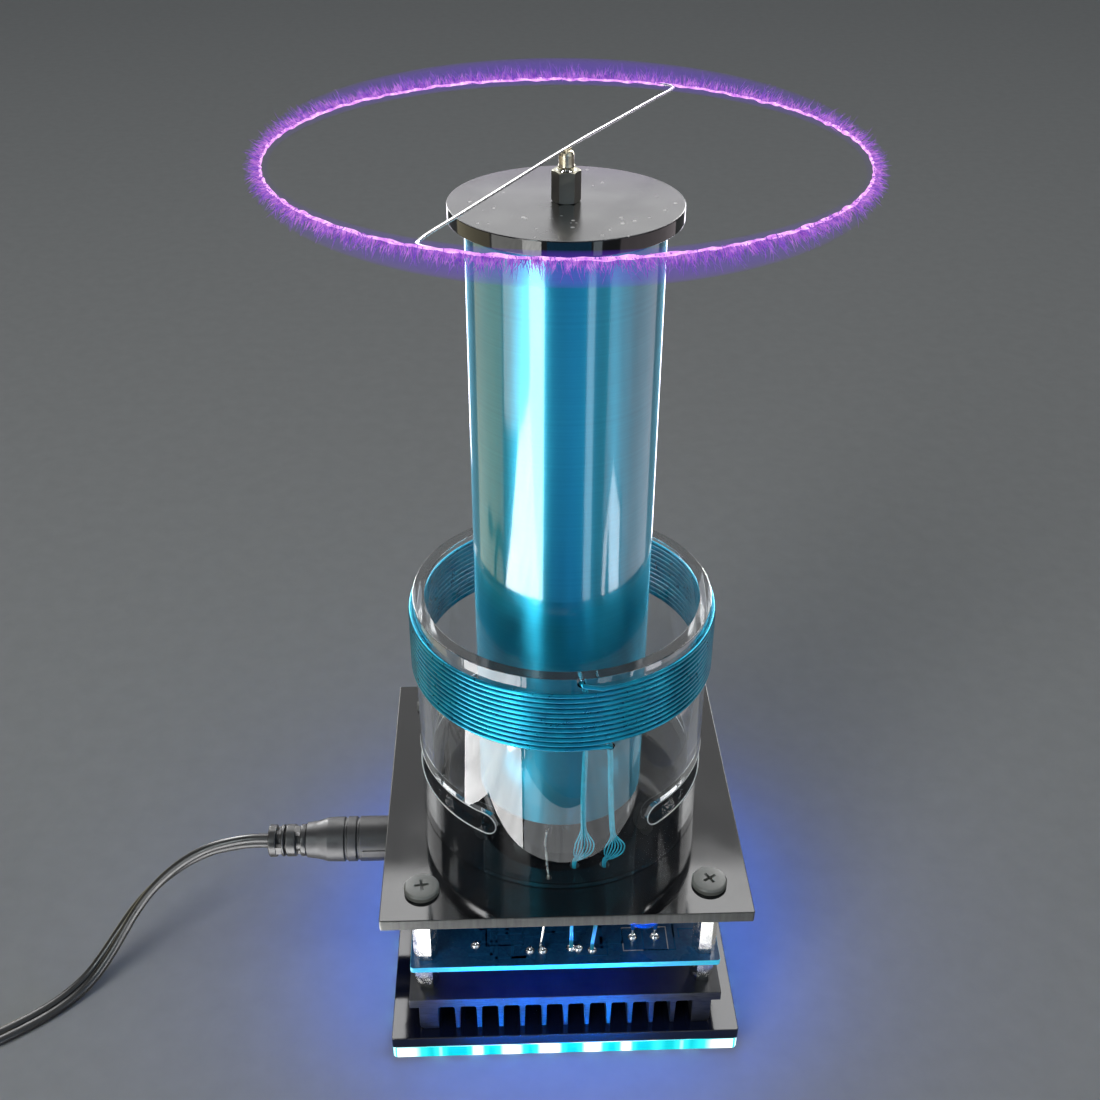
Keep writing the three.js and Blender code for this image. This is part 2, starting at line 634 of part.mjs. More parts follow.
add('cord_coil', ring(
  BUNDLE_R - BUNDLE_HALF_WIDTH, BUNDLE_R + BUNDLE_HALF_WIDTH, BUNDLE_LOW, BUNDLE_HIGH, 40,
), blackRubber, BUNDLE_X, BUNDLE_Y);

// The tie is a band around the bundle, on the side away from the coil.
function tie() {
  const wall = 0.7;
  const height = BUNDLE_HIGH - BUNDLE_LOW + 0.6;
  const width = 2 * BUNDLE_HALF_WIDTH + 1;
  const outer = block(4, width + 2 * wall, height + 2 * wall, 0, 0, -wall);
  return cut(outer, [block(8, width, height)]);
}

add('cord_tie', tie(), blackPlastic, BUNDLE_X, BUNDLE_Y + BUNDLE_R, BUNDLE_LOW - 0.3);

const TAIL_X = BUNDLE_X - BUNDLE_R;
const CONNECTOR_R = 5.2;
const CONNECTOR_Y = 26;
const tailRoute = smooth([
  [TAIL_X, BUNDLE_Y + 6, 3], [TAIL_X, 0, 3], [TAIL_X - 0.5, 8, 3.4], [TAIL_X - 1, 14, 4.2],
  [TAIL_X - 1.2, 20, 5], [TAIL_X - 1.2, CONNECTOR_Y - 0.3, CONNECTOR_R + 0.1],
]);
add('cord_tail', cut(along(tailRoute, CORD_THICK, CORD_WIDTH, 10, 8), [bundleSpace]), blackRubber);

// The inline socket at the lead's far end points along +Y.
add('lead_connector', turned([
  [0, 0], [3.4, 0], [3.6, 6], [4.9, 10], [CONNECTOR_R, 11], [CONNECTOR_R, 37], [4.8, 37.6],
  [3.1, 37.6], [3.1, 28], [0, 28],
], 16).rotateX(-Math.PI / 2), blackPlastic, TAIL_X - 1.2, CONNECTOR_Y, CONNECTOR_R + 0.1);

export default coil;
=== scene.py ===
"""Desktop high-voltage coil with an ion rotor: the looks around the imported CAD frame.

Sizes are in millimetres in the object's own frame, +Z up and -Y to the front, and MM turns them
into metres.
"""
import math
import random

import bmesh
import bpy
from mathutils import Matrix, Vector


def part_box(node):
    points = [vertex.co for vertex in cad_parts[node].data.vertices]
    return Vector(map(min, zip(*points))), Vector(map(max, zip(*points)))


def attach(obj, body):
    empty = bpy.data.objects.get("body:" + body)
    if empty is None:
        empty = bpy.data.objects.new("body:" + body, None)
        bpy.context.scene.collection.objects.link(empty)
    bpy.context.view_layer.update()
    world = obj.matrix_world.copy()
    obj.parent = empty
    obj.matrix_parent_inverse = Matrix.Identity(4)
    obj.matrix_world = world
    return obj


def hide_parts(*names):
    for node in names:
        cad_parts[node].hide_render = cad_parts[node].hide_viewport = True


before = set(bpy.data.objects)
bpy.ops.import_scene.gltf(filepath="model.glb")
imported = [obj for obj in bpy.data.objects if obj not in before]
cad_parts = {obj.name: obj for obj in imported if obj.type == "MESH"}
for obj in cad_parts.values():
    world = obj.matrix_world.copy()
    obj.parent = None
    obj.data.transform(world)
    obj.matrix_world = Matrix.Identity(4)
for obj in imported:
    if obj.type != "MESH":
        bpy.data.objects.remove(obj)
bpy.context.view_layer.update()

MM = 0.001
GLOW_STRENGTH = 1.2
COIL = "coil"
ROTOR = "rotor"


def low(node):
    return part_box(node)[0] / MM


def high(node):
    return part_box(node)[1] / MM


def linked(name, data):
    """A new object of this data, put into the scene."""
    made = bpy.data.objects.new(name, data)
    bpy.context.scene.collection.objects.link(made)
    return made


# ---------------------------------------------------------------- camera

CAMERA_PLACE = Vector((-12.86, -256.79, 283.0))
CAMERA_PITCH = math.radians(32.383)
CAMERA_YAW = math.radians(2.247)
CAMERA_ROLL = math.radians(0.277)
CAMERA_LENS = 44.19


def make_camera():
    data = bpy.data.cameras.new("camera")
    data.lens = CAMERA_LENS
    data.sensor_width = 36
    data.clip_start = 0.01
    data.clip_end = 50
    forward = Vector((
        math.sin(CAMERA_YAW) * math.cos(CAMERA_PITCH),
        math.cos(CAMERA_YAW) * math.cos(CAMERA_PITCH),
        -math.sin(CAMERA_PITCH),
    ))
    level = Vector((math.cos(CAMERA_YAW), -math.sin(CAMERA_YAW), 0))
    above = level.cross(forward)
    right = level * math.cos(CAMERA_ROLL) + above * math.sin(CAMERA_ROLL)
    up = above * math.cos(CAMERA_ROLL) - level * math.sin(CAMERA_ROLL)
    camera = linked("camera", data)
    turn = Matrix((right, up, -forward)).transposed()
    camera.matrix_world = Matrix.Translation(CAMERA_PLACE * MM) @ turn.to_4x4()
    bpy.context.scene.camera = camera


make_camera()


# ---------------------------------------------------------------- material helpers


class Shader:
    """A node material built round one Principled shader."""

    def __init__(self, name, color, **sockets):
        self.material = bpy.data.materials.new(name)
        self.material.use_nodes = True
        self.tree = self.material.node_tree
        self.bsdf = self.tree.nodes["Principled BSDF"]
        self.output = self.tree.nodes["Material Output"]
        self.bsdf.inputs["Base Color"].default_value = (*color, 1)
        for socket, value in sockets.items():
            self.bsdf.inputs[socket.replace("_", " ")].default_value = value
        self.place = self.tree.nodes.new("ShaderNodeTexCoord").outputs["Object"]

    def node(self, kind, values=None, **settings):
        made = self.tree.nodes.new(kind)
        for key, value in settings.items():
            setattr(made, key, value)
        for socket, value in (values or {}).items():
            made.inputs[socket].default_value = value
        return made

    def link(self, source, target):
        self.tree.links.new(source, target)

    def stretched(self, scale):
        made = self.node("ShaderNodeMapping", {"Scale": scale})
        self.link(self.place, made.inputs["Vector"])
        return made.outputs["Vector"]

    def noise(self, scale, detail=2.0, rough=0.5, stretch=None):
        made = self.node("ShaderNodeTexNoise", {"Scale": scale, "Detail": detail, "Roughness": rough})
        vector = self.stretched(stretch) if stretch else self.place
        self.link(vector, made.inputs["Vector"])
        return made.outputs["Fac"]

    def cells(self, scale):
        made = self.node("ShaderNodeTexVoronoi", {"Scale": scale})
        self.link(self.place, made.inputs["Vector"])
        return made.outputs["Distance"]

    def ramp(self, source, stops):
        """stops are (place, value) with a grey number or a colour."""
        made = self.node("ShaderNodeValToRGB")
        ends = made.color_ramp.elements
        while len(ends) < len(stops):
            ends.new(0.5)
        for end, (place, value) in zip(ends, stops):
            end.position = place
            end.color = (*value, 1) if isinstance(value, tuple) else (value, value, value, 1)
        self.link(source, made.inputs["Fac"])
        return made.outputs["Color"]

    def feed(self, socket, value):
        """value is a number, a colour or another node's output."""
        if isinstance(value, (int, float)):
            socket.default_value = value
        elif isinstance(value, tuple):
            socket.default_value = (*value, 1)
        else:
            self.link(value, socket)

    def math(self, operation, a, b, clamp=False):
        made = self.node("ShaderNodeMath", operation=operation, use_clamp=clamp)
        self.feed(made.inputs[0], a)
        self.feed(made.inputs[1], b)
        return made.outputs[0]

    def mix(self, factor, a, b):
        made = self.node("ShaderNodeMix", data_type="RGBA")
        for place, value in ((0, factor), (6, a), (7, b)):
            self.feed(made.inputs[place], value)
        return made.outputs[2]

    def set(self, socket, source):
        self.link(source, self.bsdf.inputs[socket])
        return self

    def colors(self, source, *stops):
        return self.set("Base Color", self.ramp(source, stops))

    def bump(self, height, distance_mm, strength):
        made = self.node("ShaderNodeBump", {"Strength": strength, "Distance": distance_mm * MM})
        self.link(height, made.inputs["Height"])
        return self.set("Normal", made.outputs["Normal"])

    def roughness(self, source, least, most):
        return self.set("Roughness", self.ramp(source, [(0.3, least), (0.7, most)]))

    def lets_lamps_through(self, share):
        """Rays from lamps pass the clear material, so that what is behind it is lit."""
        path = self.node("ShaderNodeLightPath")
        clear = self.node("ShaderNodeBsdfTransparent", {"Color": (share, share, share, 1)})
        mixer = self.node("ShaderNodeMixShader")
        self.link(path.outputs["Is Shadow Ray"], mixer.inputs[0])
        self.link(self.bsdf.outputs[0], mixer.inputs[1])
        self.link(clear.outputs[0], mixer.inputs[2])
        self.link(mixer.outputs[0], self.output.inputs["Surface"])
        return self


# ---------------------------------------------------------------- materials


def black_acrylic_material():
    s = Shader("black_acrylic", (0.006, 0.0065, 0.008), IOR=1.49, Roughness=0.05)
    smudge = s.noise(60, 4)
    s.roughness(smudge, 0.035, 0.11)
    specks = s.ramp(s.cells(900), [(0.03, 1.0), (0.055, 0.0)])
    rare = s.ramp(s.noise(230, 2), [(0.60, 0.0), (0.66, 1.0)])
    dust = s.math("MULTIPLY", specks, rare)
    s.set("Base Color", s.mix(dust, (0.006, 0.0065, 0.008), (0.34, 0.33, 0.31)))
    s.bump(s.noise(2500, 2), 0.004, 0.25)
    return s.material


def dusty_disc_material():
    s = Shader("black_acrylic_dusty", (0.008, 0.0085, 0.01), IOR=1.49, Roughness=0.1)
    s.roughness(s.noise(90, 5), 0.2, 0.28)
    flakes = s.ramp(s.cells(330), [(0.12, 1.0), (0.15, 0.0)])
    rare = s.ramp(s.noise(95, 2), [(0.50, 0.0), (0.53, 1.0)])
    dust = s.math("MULTIPLY", flakes, rare)
    s.set("Base Color", s.mix(dust, (0.008, 0.0085, 0.01), (0.95, 0.94, 0.9)))
    return s.material


def clear_acrylic_material():
    s = Shader("clear_acrylic", (0.97, 0.985, 0.99), IOR=1.49, Roughness=0.0, Transmission_Weight=1.0)
    s.roughness(s.noise(45, 3), 0.0, 0.03)
    return s.lets_lamps_through(0.93).material


def cut_acrylic_material():
    """The sawn and polished rims of the clear tubes: clear, but they scatter a little room light."""
    s = Shader("clear_acrylic_rim", (0.93, 0.95, 0.97), IOR=1.49, Roughness=0.2, Transmission_Weight=0.9)
    streaks = s.noise(220, 4, 0.6)
    s.colors(streaks, (0.3, (0.82, 0.85, 0.88)), (0.75, (0.97, 0.98, 1.0)))
    s.roughness(streaks, 0.04, 0.14)
    s.bump(s.noise(300, 2), 0.008, 0.2)
    return s.lets_lamps_through(0.7).material


def enamel_material():
    """Hundreds of turns of teal enamelled wire under clear lacquer. Each turn is a tiny cylinder, so
    a light's reflection stays sharp round the tube and is drawn out along it."""
    s = Shader(
        "enamelled_winding", (0.004, 0.32, 0.48), Metallic=0.8, Roughness=0.4, IOR=1.6, Anisotropic=1.0,
        Anisotropic_Rotation=0.25, Coat_Weight=1.0, Coat_Roughness=0.09, Coat_IOR=1.7,
    )
    s.set("Tangent", s.node("ShaderNodeTangent", direction_type="RADIAL", axis="Z").outputs[0])
    bands = s.noise(1, 4, 0.7, (0.5, 0.5, 1500))
    s.colors(bands, (0.25, (0.004, 0.28, 0.43)), (0.5, (0.007, 0.32, 0.48)), (0.78, (0.012, 0.36, 0.53)))
    s.roughness(s.noise(1, 3, 0.6, (20, 20, 900)), 0.38, 0.43)
    return s.material


def blue_wire_material():
    s = Shader(
        "blue_enamelled_wire", (0.001, 0.19, 0.33), Roughness=0.3, IOR=1.35, Metallic=0.75,
        Coat_Weight=0.1, Coat_Roughness=0.2,
    )
    s.colors(s.noise(260, 3, 0.5), (0.3, (0.0005, 0.16, 0.27)), (0.7, (0.001, 0.26, 0.38)))
    s.roughness(s.noise(500, 2), 0.26, 0.38)
    return s.material


def metal_material(name, color, least, most):
    s = Shader(name, color, Metallic=1.0, Roughness=least)
    wear = s.noise(700, 3, 0.55)
    s.roughness(wear, least, most)
    darker = tuple(0.78 * c for c in color)
    s.colors(s.noise(160, 4), (0.3, darker), (0.65, color))
    s.bump(wear, 0.004, 0.25)
    return s.material


def anodised_material():
    s = Shader("black_anodised", (0.022, 0.023, 0.026), Metallic=0.55, Roughness=0.4)
    drawn = s.noise(1, 3, 0.6, (2600, 60, 2600))
    s.roughness(drawn, 0.3, 0.5)
    s.colors(s.noise(120, 4), (0.3, (0.014, 0.015, 0.017)), (0.7, (0.03, 0.031, 0.035)))
    s.bump(drawn, 0.02, 0.35)
    return s.material


def plastic_material(name, color, least, most, grain=1800, depth=0.02):
    s = Shader(name, color, Roughness=least)
    s.roughness(s.noise(grain / 4, 3), least, most)
    lighter = tuple(min(1.0, 1.6 * c + 0.004) for c in color)
    s.colors(s.noise(110, 4), (0.35, color), (0.75, lighter))
    s.bump(s.noise(grain, 3), depth, 0.35)
    return s.material


def board_material():
    """Blue solder mask over copper tracks."""
    s = Shader(
        "solder_mask", (0.01, 0.1, 0.3), Roughness=0.25, IOR=1.5, Coat_Weight=0.5, Coat_Roughness=0.1,
    )
    weave = s.noise(1500, 2)
    s.colors(weave, (0.3, (0.008, 0.09, 0.27)), (0.75, (0.016, 0.15, 0.36)))
    s.roughness(s.noise(90, 4), 0.2, 0.34)
    s.bump(weave, 0.006, 0.3)
    return s.material


def track_material():
    """Copper tracks under the solder mask show as raised, lighter lines."""
    s = Shader("masked_copper", (0.014, 0.14, 0.36), Roughness=0.24)
    s.colors(s.noise(300, 3), (0.3, (0.01, 0.12, 0.32)), (0.7, (0.018, 0.17, 0.42)))
    return s.material


# The board's edge: its bright cyan colour and its emission are painted light, the glow of the LEDs falling on
# the edge.
def pcb_edge_glow_material():
    s = Shader(
        "pcb_edge_painted_glow", (0.05, 0.5, 0.72), Roughness=0.4, Emission_Color=(0.01, 0.42, 0.62, 1),
        Emission_Strength=0.7,
    )
    s.colors(s.noise(1, 2, 0.6, (400, 400, 4000)), (0.3, (0.03, 0.36, 0.55)), (0.7, (0.1, 0.62, 0.85)))
    return s.material


def solder_material():
    s = Shader("solder", (0.78, 0.79, 0.8), Metallic=1.0, Roughness=0.2)
    s.roughness(s.noise(900, 3), 0.12, 0.38)
    s.bump(s.noise(1300, 2), 0.03, 0.4)
    return s.material


def plain_material(name, color, roughness):
    s = Shader(name, color, Roughness=roughness)
    darker = tuple(0.82 * c for c in color)
    s.colors(s.noise(600, 3), (0.35, darker), (0.7, color))
    s.bump(s.noise(1800, 2), 0.01, 0.3)
    return s.material


def streaked_material(name, color, stretch, detail, dark, light, rough, depth, **sockets):
    """Fine streaks, short along the axis of the largest stretch, in colour, polish and height."""
    s = Shader(name, color, **sockets)
    streaks = s.noise(1, 3, detail, stretch)
    s.colors(streaks, (0.3, dark), (0.7, light))
    s.roughness(streaks, *rough)
    s.bump(streaks, 0.02, depth)
    return s.material


# Places along each edge of the foot where an LED shines through, as (place, brightness, half width).
LED_SPOTS = [
    (-30.6, 0.72, 2.2), (-21.5, 0.98, 3.0), (-13.2, 1.15, 4.4), (-3.9, 1.2, 4.6), (6.6, 1.1, 4.2),
    (14.9, 0.98, 3.0), (22.6, 0.6, 2.2), (28.6, 0.72, 2.4),
]
GLOW_BETWEEN = 0.34
GLOW_ENDS = 0.86
GLOW_FLOOR = 0.75
FOOT_SIDE = 84.7
SIDES = ("front", "right", "back", "left")


def glow_stops():
    """The brightness along one edge of the foot, as stops of a ramp from end to end."""
    stops = [(-FOOT_SIDE / 2, GLOW_ENDS), (-37.5, GLOW_ENDS)]
    for place, peak, half in LED_SPOTS:
        stops += [(place - half, GLOW_BETWEEN), (place, peak), (place + half, GLOW_BETWEEN)]
    stops += [(37.0, GLOW_ENDS), (FOOT_SIDE / 2, GLOW_ENDS)]
    return [(place / FOOT_SIDE + 0.5, value) for place, value in stops]


def glow_material():
    """The edge-lit acrylic: white where an LED sits close behind the edge and cyan between."""
    s = Shader("lit_acrylic", (0.0, 0.1, 0.15), Roughness=0.15, IOR=1.49)
    place = s.node("ShaderNodeSeparateXYZ")
    s.link(s.place, place.inputs[0])
    facing = s.node("ShaderNodeSeparateXYZ")
    s.link(s.node("ShaderNodeTexCoord").outputs["Normal"], facing.inputs[0])
    across = s.math("MULTIPLY", place.outputs["X"], facing.outputs["Y"])
    along = s.math("SUBTRACT", s.math("MULTIPLY", place.outputs["Y"], facing.outputs["X"]), across)
    share = s.math("ADD", s.math("DIVIDE", along, FOOT_SIDE * MM), 0.5)
    lit = s.ramp(share, glow_stops())
    s.set("Emission Color", s.ramp(lit, [
        (0.34, (0.0, 0.80, 0.86)), (0.62, (0.05, 0.97, 1.0)), (0.8, (0.85, 1.0, 1.0)),
        (0.95, (1.0, 1.0, 1.0)),
    ]))
    peaks = s.math("MULTIPLY", s.math("POWER", lit, 2.0), GLOW_STRENGTH)
    s.set("Emission Strength", s.math("ADD", GLOW_FLOOR, peaks))
    return s.material


def plasma_material(name, inner, outer, strength):
    s = Shader(name, (0, 0, 0), Roughness=1.0)
    flicker = s.noise(700, 3)
    s.set("Emission Color", s.ramp(flicker, [(0.3, outer), (0.68, inner)]))
    s.set("Emission Strength", s.math("MULTIPLY", s.ramp(flicker, [(0.25, 0.55), (0.7, 1.0)]), strength))
    return s.material


def halo_material():
    """A thin violet haze, densest where the ring is seen through its thickness."""
    s = Shader("plasma_haze", (0, 0, 0))
    facing = s.node("ShaderNodeLayerWeight", {"Blend": 0.35})
    glow = s.node("ShaderNodeEmission", {"Color": (0.2, 0.05, 0.95, 1), "Strength": 0.8})
    clear = s.node("ShaderNodeBsdfTransparent")
    mixer = s.node("ShaderNodeMixShader")
    inside = s.math("SUBTRACT", 1.0, facing.outputs["Facing"], True)
    s.link(s.math("MULTIPLY", s.math("POWER", inside, 2.0), 0.2), mixer.inputs[0])
    s.link(clear.outputs[0], mixer.inputs[1])
    s.link(glow.outputs[0], mixer.inputs[2])
    s.link(mixer.outputs[0], s.output.inputs["Surface"])
    s.tree.nodes.remove(s.bsdf)
    return s.material


black_acrylic = black_acrylic_material()
dusty_acrylic = dusty_disc_material()
clear_acrylic = clear_acrylic_material()
cut_acrylic = cut_acrylic_material()
enamel = enamel_material()
blue_wire = blue_wire_material()
anodised = anodised_material()
nickel = metal_material("nickel", (0.74, 0.73, 0.69), 0.14, 0.3)
zinc = metal_material("zinc_plate", (0.62, 0.64, 0.67), 0.22, 0.4)
tinned = metal_material("tinned_copper", (0.8, 0.8, 0.77), 0.2, 0.34)
post_nickel = metal_material("post_nickel", (0.34, 0.33, 0.26), 0.3, 0.42)
needle_steel = metal_material("needle_steel", (0.7, 0.71, 0.73), 0.1, 0.2)
brass = metal_material("brass", (0.62, 0.55, 0.4), 0.22, 0.38)
tab_metal = metal_material("transistor_tab", (0.66, 0.66, 0.66), 0.28, 0.42)
screw_black = plastic_material("black_oxide", (0.02, 0.02, 0.019), 0.3, 0.42, 1500, 0.015)
screw_grey = plastic_material("grey_screw_head", (0.15, 0.155, 0.14), 0.42, 0.55, 1500, 0.015)
black_plastic = plastic_material("black_plastic", (0.012, 0.012, 0.014), 0.35, 0.55)
black_vinyl = plastic_material("black_vinyl", (0.011, 0.011, 0.012), 0.26, 0.42, 900, 0.015)
jack_plastic = plastic_material("jack_plastic", (0.016, 0.016, 0.018), 0.4, 0.58)
board_mask = board_material()
pcb_edge_painted_glow = pcb_edge_glow_material()
masked_copper = track_material()
solder = solder_material()
silk_white = plain_material("silkscreen_white", (0.86, 0.88, 0.9), 0.5)
pad_grey = plain_material("silicone_pad", (0.42, 0.43, 0.45), 0.7)
blue_epoxy = plastic_material("blue_epoxy", (0.01, 0.16, 0.62), 0.16, 0.3, 700, 0.03)
red_film = plastic_material("red_film_case", (0.32, 0.02, 0.015), 0.22, 0.36, 700, 0.02)
cap_sleeve = plastic_material("capacitor_sleeve", (0.012, 0.014, 0.03), 0.2, 0.34, 500, 0.01)
resistor_blue = plain_material("resistor_body", (0.2, 0.42, 0.6), 0.35)
band_brown = plain_material("resistor_band", (0.14, 0.05, 0.02), 0.4)
red_vinyl = plastic_material("red_vinyl", (0.35, 0.015, 0.012), 0.3, 0.45, 900, 0.01)
tape_white = plain_material("led_tape_white", (0.85, 0.88, 0.9), 0.5)
lit_acrylic = glow_material()
plasma_core = plasma_material("plasma_core", (1.0, 0.55, 0.98), (0.7, 0.2, 0.9), 1.7)
plasma_fringe = plasma_material("plasma_fringe", (0.8, 0.3, 0.92), (0.4, 0.1, 0.75), 0.95)
plasma_wisps = plasma_material("plasma_wisps", (0.5, 0.18, 0.9), (0.2, 0.08, 0.75), 0.8)
plasma_haze = halo_material()


# ---------------------------------------------------------------- shape helpers


def fillet(profile, radius, steps=3):
    """The profile again with its corners rounded, apart from those on the axis and its ends."""
    closed = profile[0] == profile[-1]
    points = [Vector(p) for p in (profile[:-1] if closed else profile)]
    count = len(points)
    made = []
    for i, p in enumerate(points):
        end = not closed and i in (0, count - 1)
        before, after = points[i - 1], points[(i + 1) % count]
        if end or p.x < 1e-6:
            made.append(p)
            continue
        reach = min(radius, 0.45 * (p - before).length, 0.45 * (after - p).length)
        a = p + (before - p).normalized() * reach
        b = p + (after - p).normalized() * reach
        for k in range(steps + 1):
            t = k / steps
            made.append(a * (1 - t) ** 2 + p * 2 * t * (1 - t) + b * t ** 2)
    if closed:
        made.append(made[0])
    return [tuple(p) for p in made]


def between(p, q, t, t_p, t_q):
    return p * ((t_q - t) / (t_q - t_p)) + q * ((t - t_p) / (t_q - t_p))


def catmull(points, per_span=8):
    """A smooth line through the points, as a centripetal Catmull-Rom curve."""
    points = [Vector(p) for p in points]
    ghosts = [points[0] * 2 - points[1], *points, points[-1] * 2 - points[-2]]
    line = []
    for i in range(1, len(ghosts) - 2):
        p0, p1, p2, p3 = ghosts[i - 1:i + 3]
        t0 = 0.0
        t1 = t0 + math.sqrt(max((p1 - p0).length, 1e-6))
        t2 = t1 + math.sqrt(max((p2 - p1).length, 1e-6))
        t3 = t2 + math.sqrt(max((p3 - p2).length, 1e-6))
        for k in range(per_span):
            t = t1 + (t2 - t1) * k / per_span
            a2 = between(p1, p2, t, t1, t2)
            b1 = between(between(p0, p1, t, t0, t1), a2, t, t0, t2)
            b2 = between(a2, between(p2, p3, t, t2, t3), t, t1, t3)
            line.append(between(b1, b2, t, t1, t2))
    line.append(points[-1].copy())
    return line


def spun(degrees, axis="Z"):
    return Matrix.Rotation(math.radians(degrees), 4, axis)


def polar(radius, azimuth, z):
    return Vector((radius * math.cos(azimuth), radius * math.sin(azimuth), z))


class Shape:
    """Collects closed pieces of mesh, in millimetres, and makes one object of them."""

    def __init__(self):
        self.vertices = []
        self.faces = []
        self.slots = []

    def add(self, vertices, faces, slot=0, turn=None):
        start = len(self.vertices)
        for v in vertices:
            v = Vector(v)
            self.vertices.append(turn @ v if turn else v)
        for face in faces:
            self.faces.append([start + i for i in face])
            self.slots.append(slot)
        return self

    def rings(self, rings, slot=0, turn=None, closed=False):
        """A skin over rings of points, alike in number. A ring of one point closes that end."""
        vertices, starts = [], []
        for ring in rings:
            starts.append(len(vertices))
            vertices.extend(ring)
        faces = []
        spans = len(rings) if closed else len(rings) - 1
        for i in range(spans):
            j = (i + 1) % len(rings)
            count = max(len(rings[i]), len(rings[j]))
            for k in range(count):
                n = (k + 1) % count
                here = [starts[i] + k % len(rings[i]), starts[i] + n % len(rings[i])]
                there = [starts[j] + n % len(rings[j]), starts[j] + k % len(rings[j])]
                face = list(dict.fromkeys(here + there))
                if len(face) > 2:
                    faces.append(face)
        return self.add(vertices, faces, slot, turn)

    def turned(self, profile, segments=64, slot=0, turn=None):
        """A solid of revolution about Z. The profile runs anticlockwise as (radius, height)."""
        closed = profile[0] == profile[-1]
        rings = []
        for radius, z in (profile[:-1] if closed else profile):
            count = segments if radius > 1e-6 else 1
            rings.append([polar(radius, 2 * math.pi * k / segments, z) for k in range(count)])
        return self.rings(rings, slot, turn, closed)

    def box(self, lowest, highest, slot=0, edge=0.15, turn=None, segments=2):
        bm = bmesh.new()
        bmesh.ops.create_cube(bm, size=1)
        size = Vector(highest) - Vector(lowest)
        middle = (Vector(highest) + Vector(lowest)) / 2
        for v in bm.verts:
            v.co = Vector((v.co.x * size.x, v.co.y * size.y, v.co.z * size.z)) + middle
        if edge:
            reach = min(edge, 0.3 * min(size))
            bmesh.ops.bevel(
                bm, geom=bm.edges[:], offset=reach, segments=segments, affect="EDGES", profile=0.6,
            )
        bm.verts.index_update()
        self.add([v.co for v in bm.verts], [[v.index for v in f.verts] for f in bm.faces], slot, turn)
        bm.free()
        return self

    def tube(self, line, radius, sides=12, slot=0, section=None, turn=None):
        """A closed tube along a line. radius is a number or a function of the share along it, and
        section(share, angle) scales it round the tube."""
        line = [Vector(p) for p in line]
        count = len(line)
        tangents = []
        for i in range(count):
            step = line[min(i + 1, count - 1)] - line[max(i - 1, 0)]
            tangents.append(step.normalized())
        side = tangents[0].orthogonal().normalized()
        vertices = []
        for i, p in enumerate(line):
            side = (side - tangents[i] * side.dot(tangents[i])).normalized()
            other = tangents[i].cross(side)
            share = i / (count - 1)
            r = radius(share) if callable(radius) else radius
            for k in range(sides):
                angle = 2 * math.pi * k / sides
                reach = r * (section(share, angle) if section else 1)
                vertices.append(p + (side * math.cos(angle) + other * math.sin(angle)) * reach)
        faces = []
        for i in range(count - 1):
            for k in range(sides):
                n = (k + 1) % sides
                a = i * sides
                faces.append([a + k, a + n, a + sides + n, a + sides + k])
        faces.append(list(range(sides))[::-1])
        last = (count - 1) * sides
        faces.append([last + k for k in range(sides)])
        return self.add(vertices, faces, slot, turn)

    def bar(self, rings, turn=None):
        """A closed bar over rings of four corners each."""
        last = 4 * (len(rings) - 1)
        faces = [[0, 1, 2, 3], [last + k for k in (3, 2, 1, 0)]]
        for i in range(0, last, 4):
            faces += [[i + k, i + (k + 1) % 4, i + 4 + (k + 1) % 4, i + 4 + k] for k in range(4)]
        return self.add([p for ring in rings for p in ring], faces, 0, turn)

    def dome(self, place, radius, height):
        profile = [(0, 0)]
        for k in range(6):
            angle = k / 5 * math.pi / 2
            profile.append((radius * math.cos(angle), height * math.sin(angle)))
        profile[-1] = (0, height)
        return self.turned(profile, 20, 0, Matrix.Translation(Vector(place)))

    def make(self, name, *materials, sharp=35):
        mesh = bpy.data.meshes.new(name)
        mesh.from_pydata([v * MM for v in self.vertices], [], self.faces)
        for material in materials:
            mesh.materials.append(material)
        mesh.polygons.foreach_set("material_index", self.slots)
        bm = bmesh.new()
        bm.from_mesh(mesh)
        bmesh.ops.recalc_face_normals(bm, faces=bm.faces[:])
        bm.to_mesh(mesh)
        bm.free()
        return smooth_object(name, mesh, sharp)


def smooth_object(name, mesh, sharp=35):
    mesh.shade_smooth()
    mesh.set_sharp_from_angle(angle=math.radians(sharp))
    made = linked(name, mesh)
    return made


def finished(obj, body, slot, *nodes):
    """obj rides on its body and stands for these CAD nodes. slot is not used. Its normals
    follow the larger faces, so that flat faces reflect as flat right up to their soft edges."""
    if not obj.data.has_custom_normals:
        flattened = obj.modifiers.new("weighted_normals", "WEIGHTED_NORMAL")
        flattened.keep_sharp = True
    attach(obj, body)
    if nodes:
        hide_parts(*nodes)
    return obj


def with_wall_normals(obj, *radii):
    """Round walls of these radii about Z get exact normals, however their faces are cut up."""
    mesh = obj.data
    normals = []
    for face in mesh.polygons:
        for corner in face.loop_indices:
            point = mesh.vertices[mesh.loops[corner].vertex_index].co
            out = Vector((point.x, point.y, 0))
            at_radius = any(abs(out.length / MM - radius) < 0.03 for radius in radii)
            upright = abs(face.normal.z) < 0.2
            if at_radius and upright and abs(face.normal.dot(out.normalized())) > 0.9:
                out.normalize()
                normals.append(out if face.normal.dot(out) > 0 else -out)
            else:
                normals.append(face.normal.copy())
    mesh.normals_split_custom_set(normals)
    return obj


def carved(obj, cutters):
    """obj with the cutters' shapes taken out of its mesh."""
    for cutter in cutters:
        modifier = obj.modifiers.new("cut", "BOOLEAN")
        modifier.operation = "DIFFERENCE"
        modifier.solver = "EXACT"
        modifier.object = cutter
    bpy.context.view_layer.update()
    depsgraph = bpy.context.evaluated_depsgraph_get()
    mesh = bpy.data.meshes.new_from_object(obj.evaluated_get(depsgraph))
    name = obj.name
    for used in (obj, *cutters):
        bpy.data.objects.remove(used)
    mesh.name = name
    return linked(name, mesh)


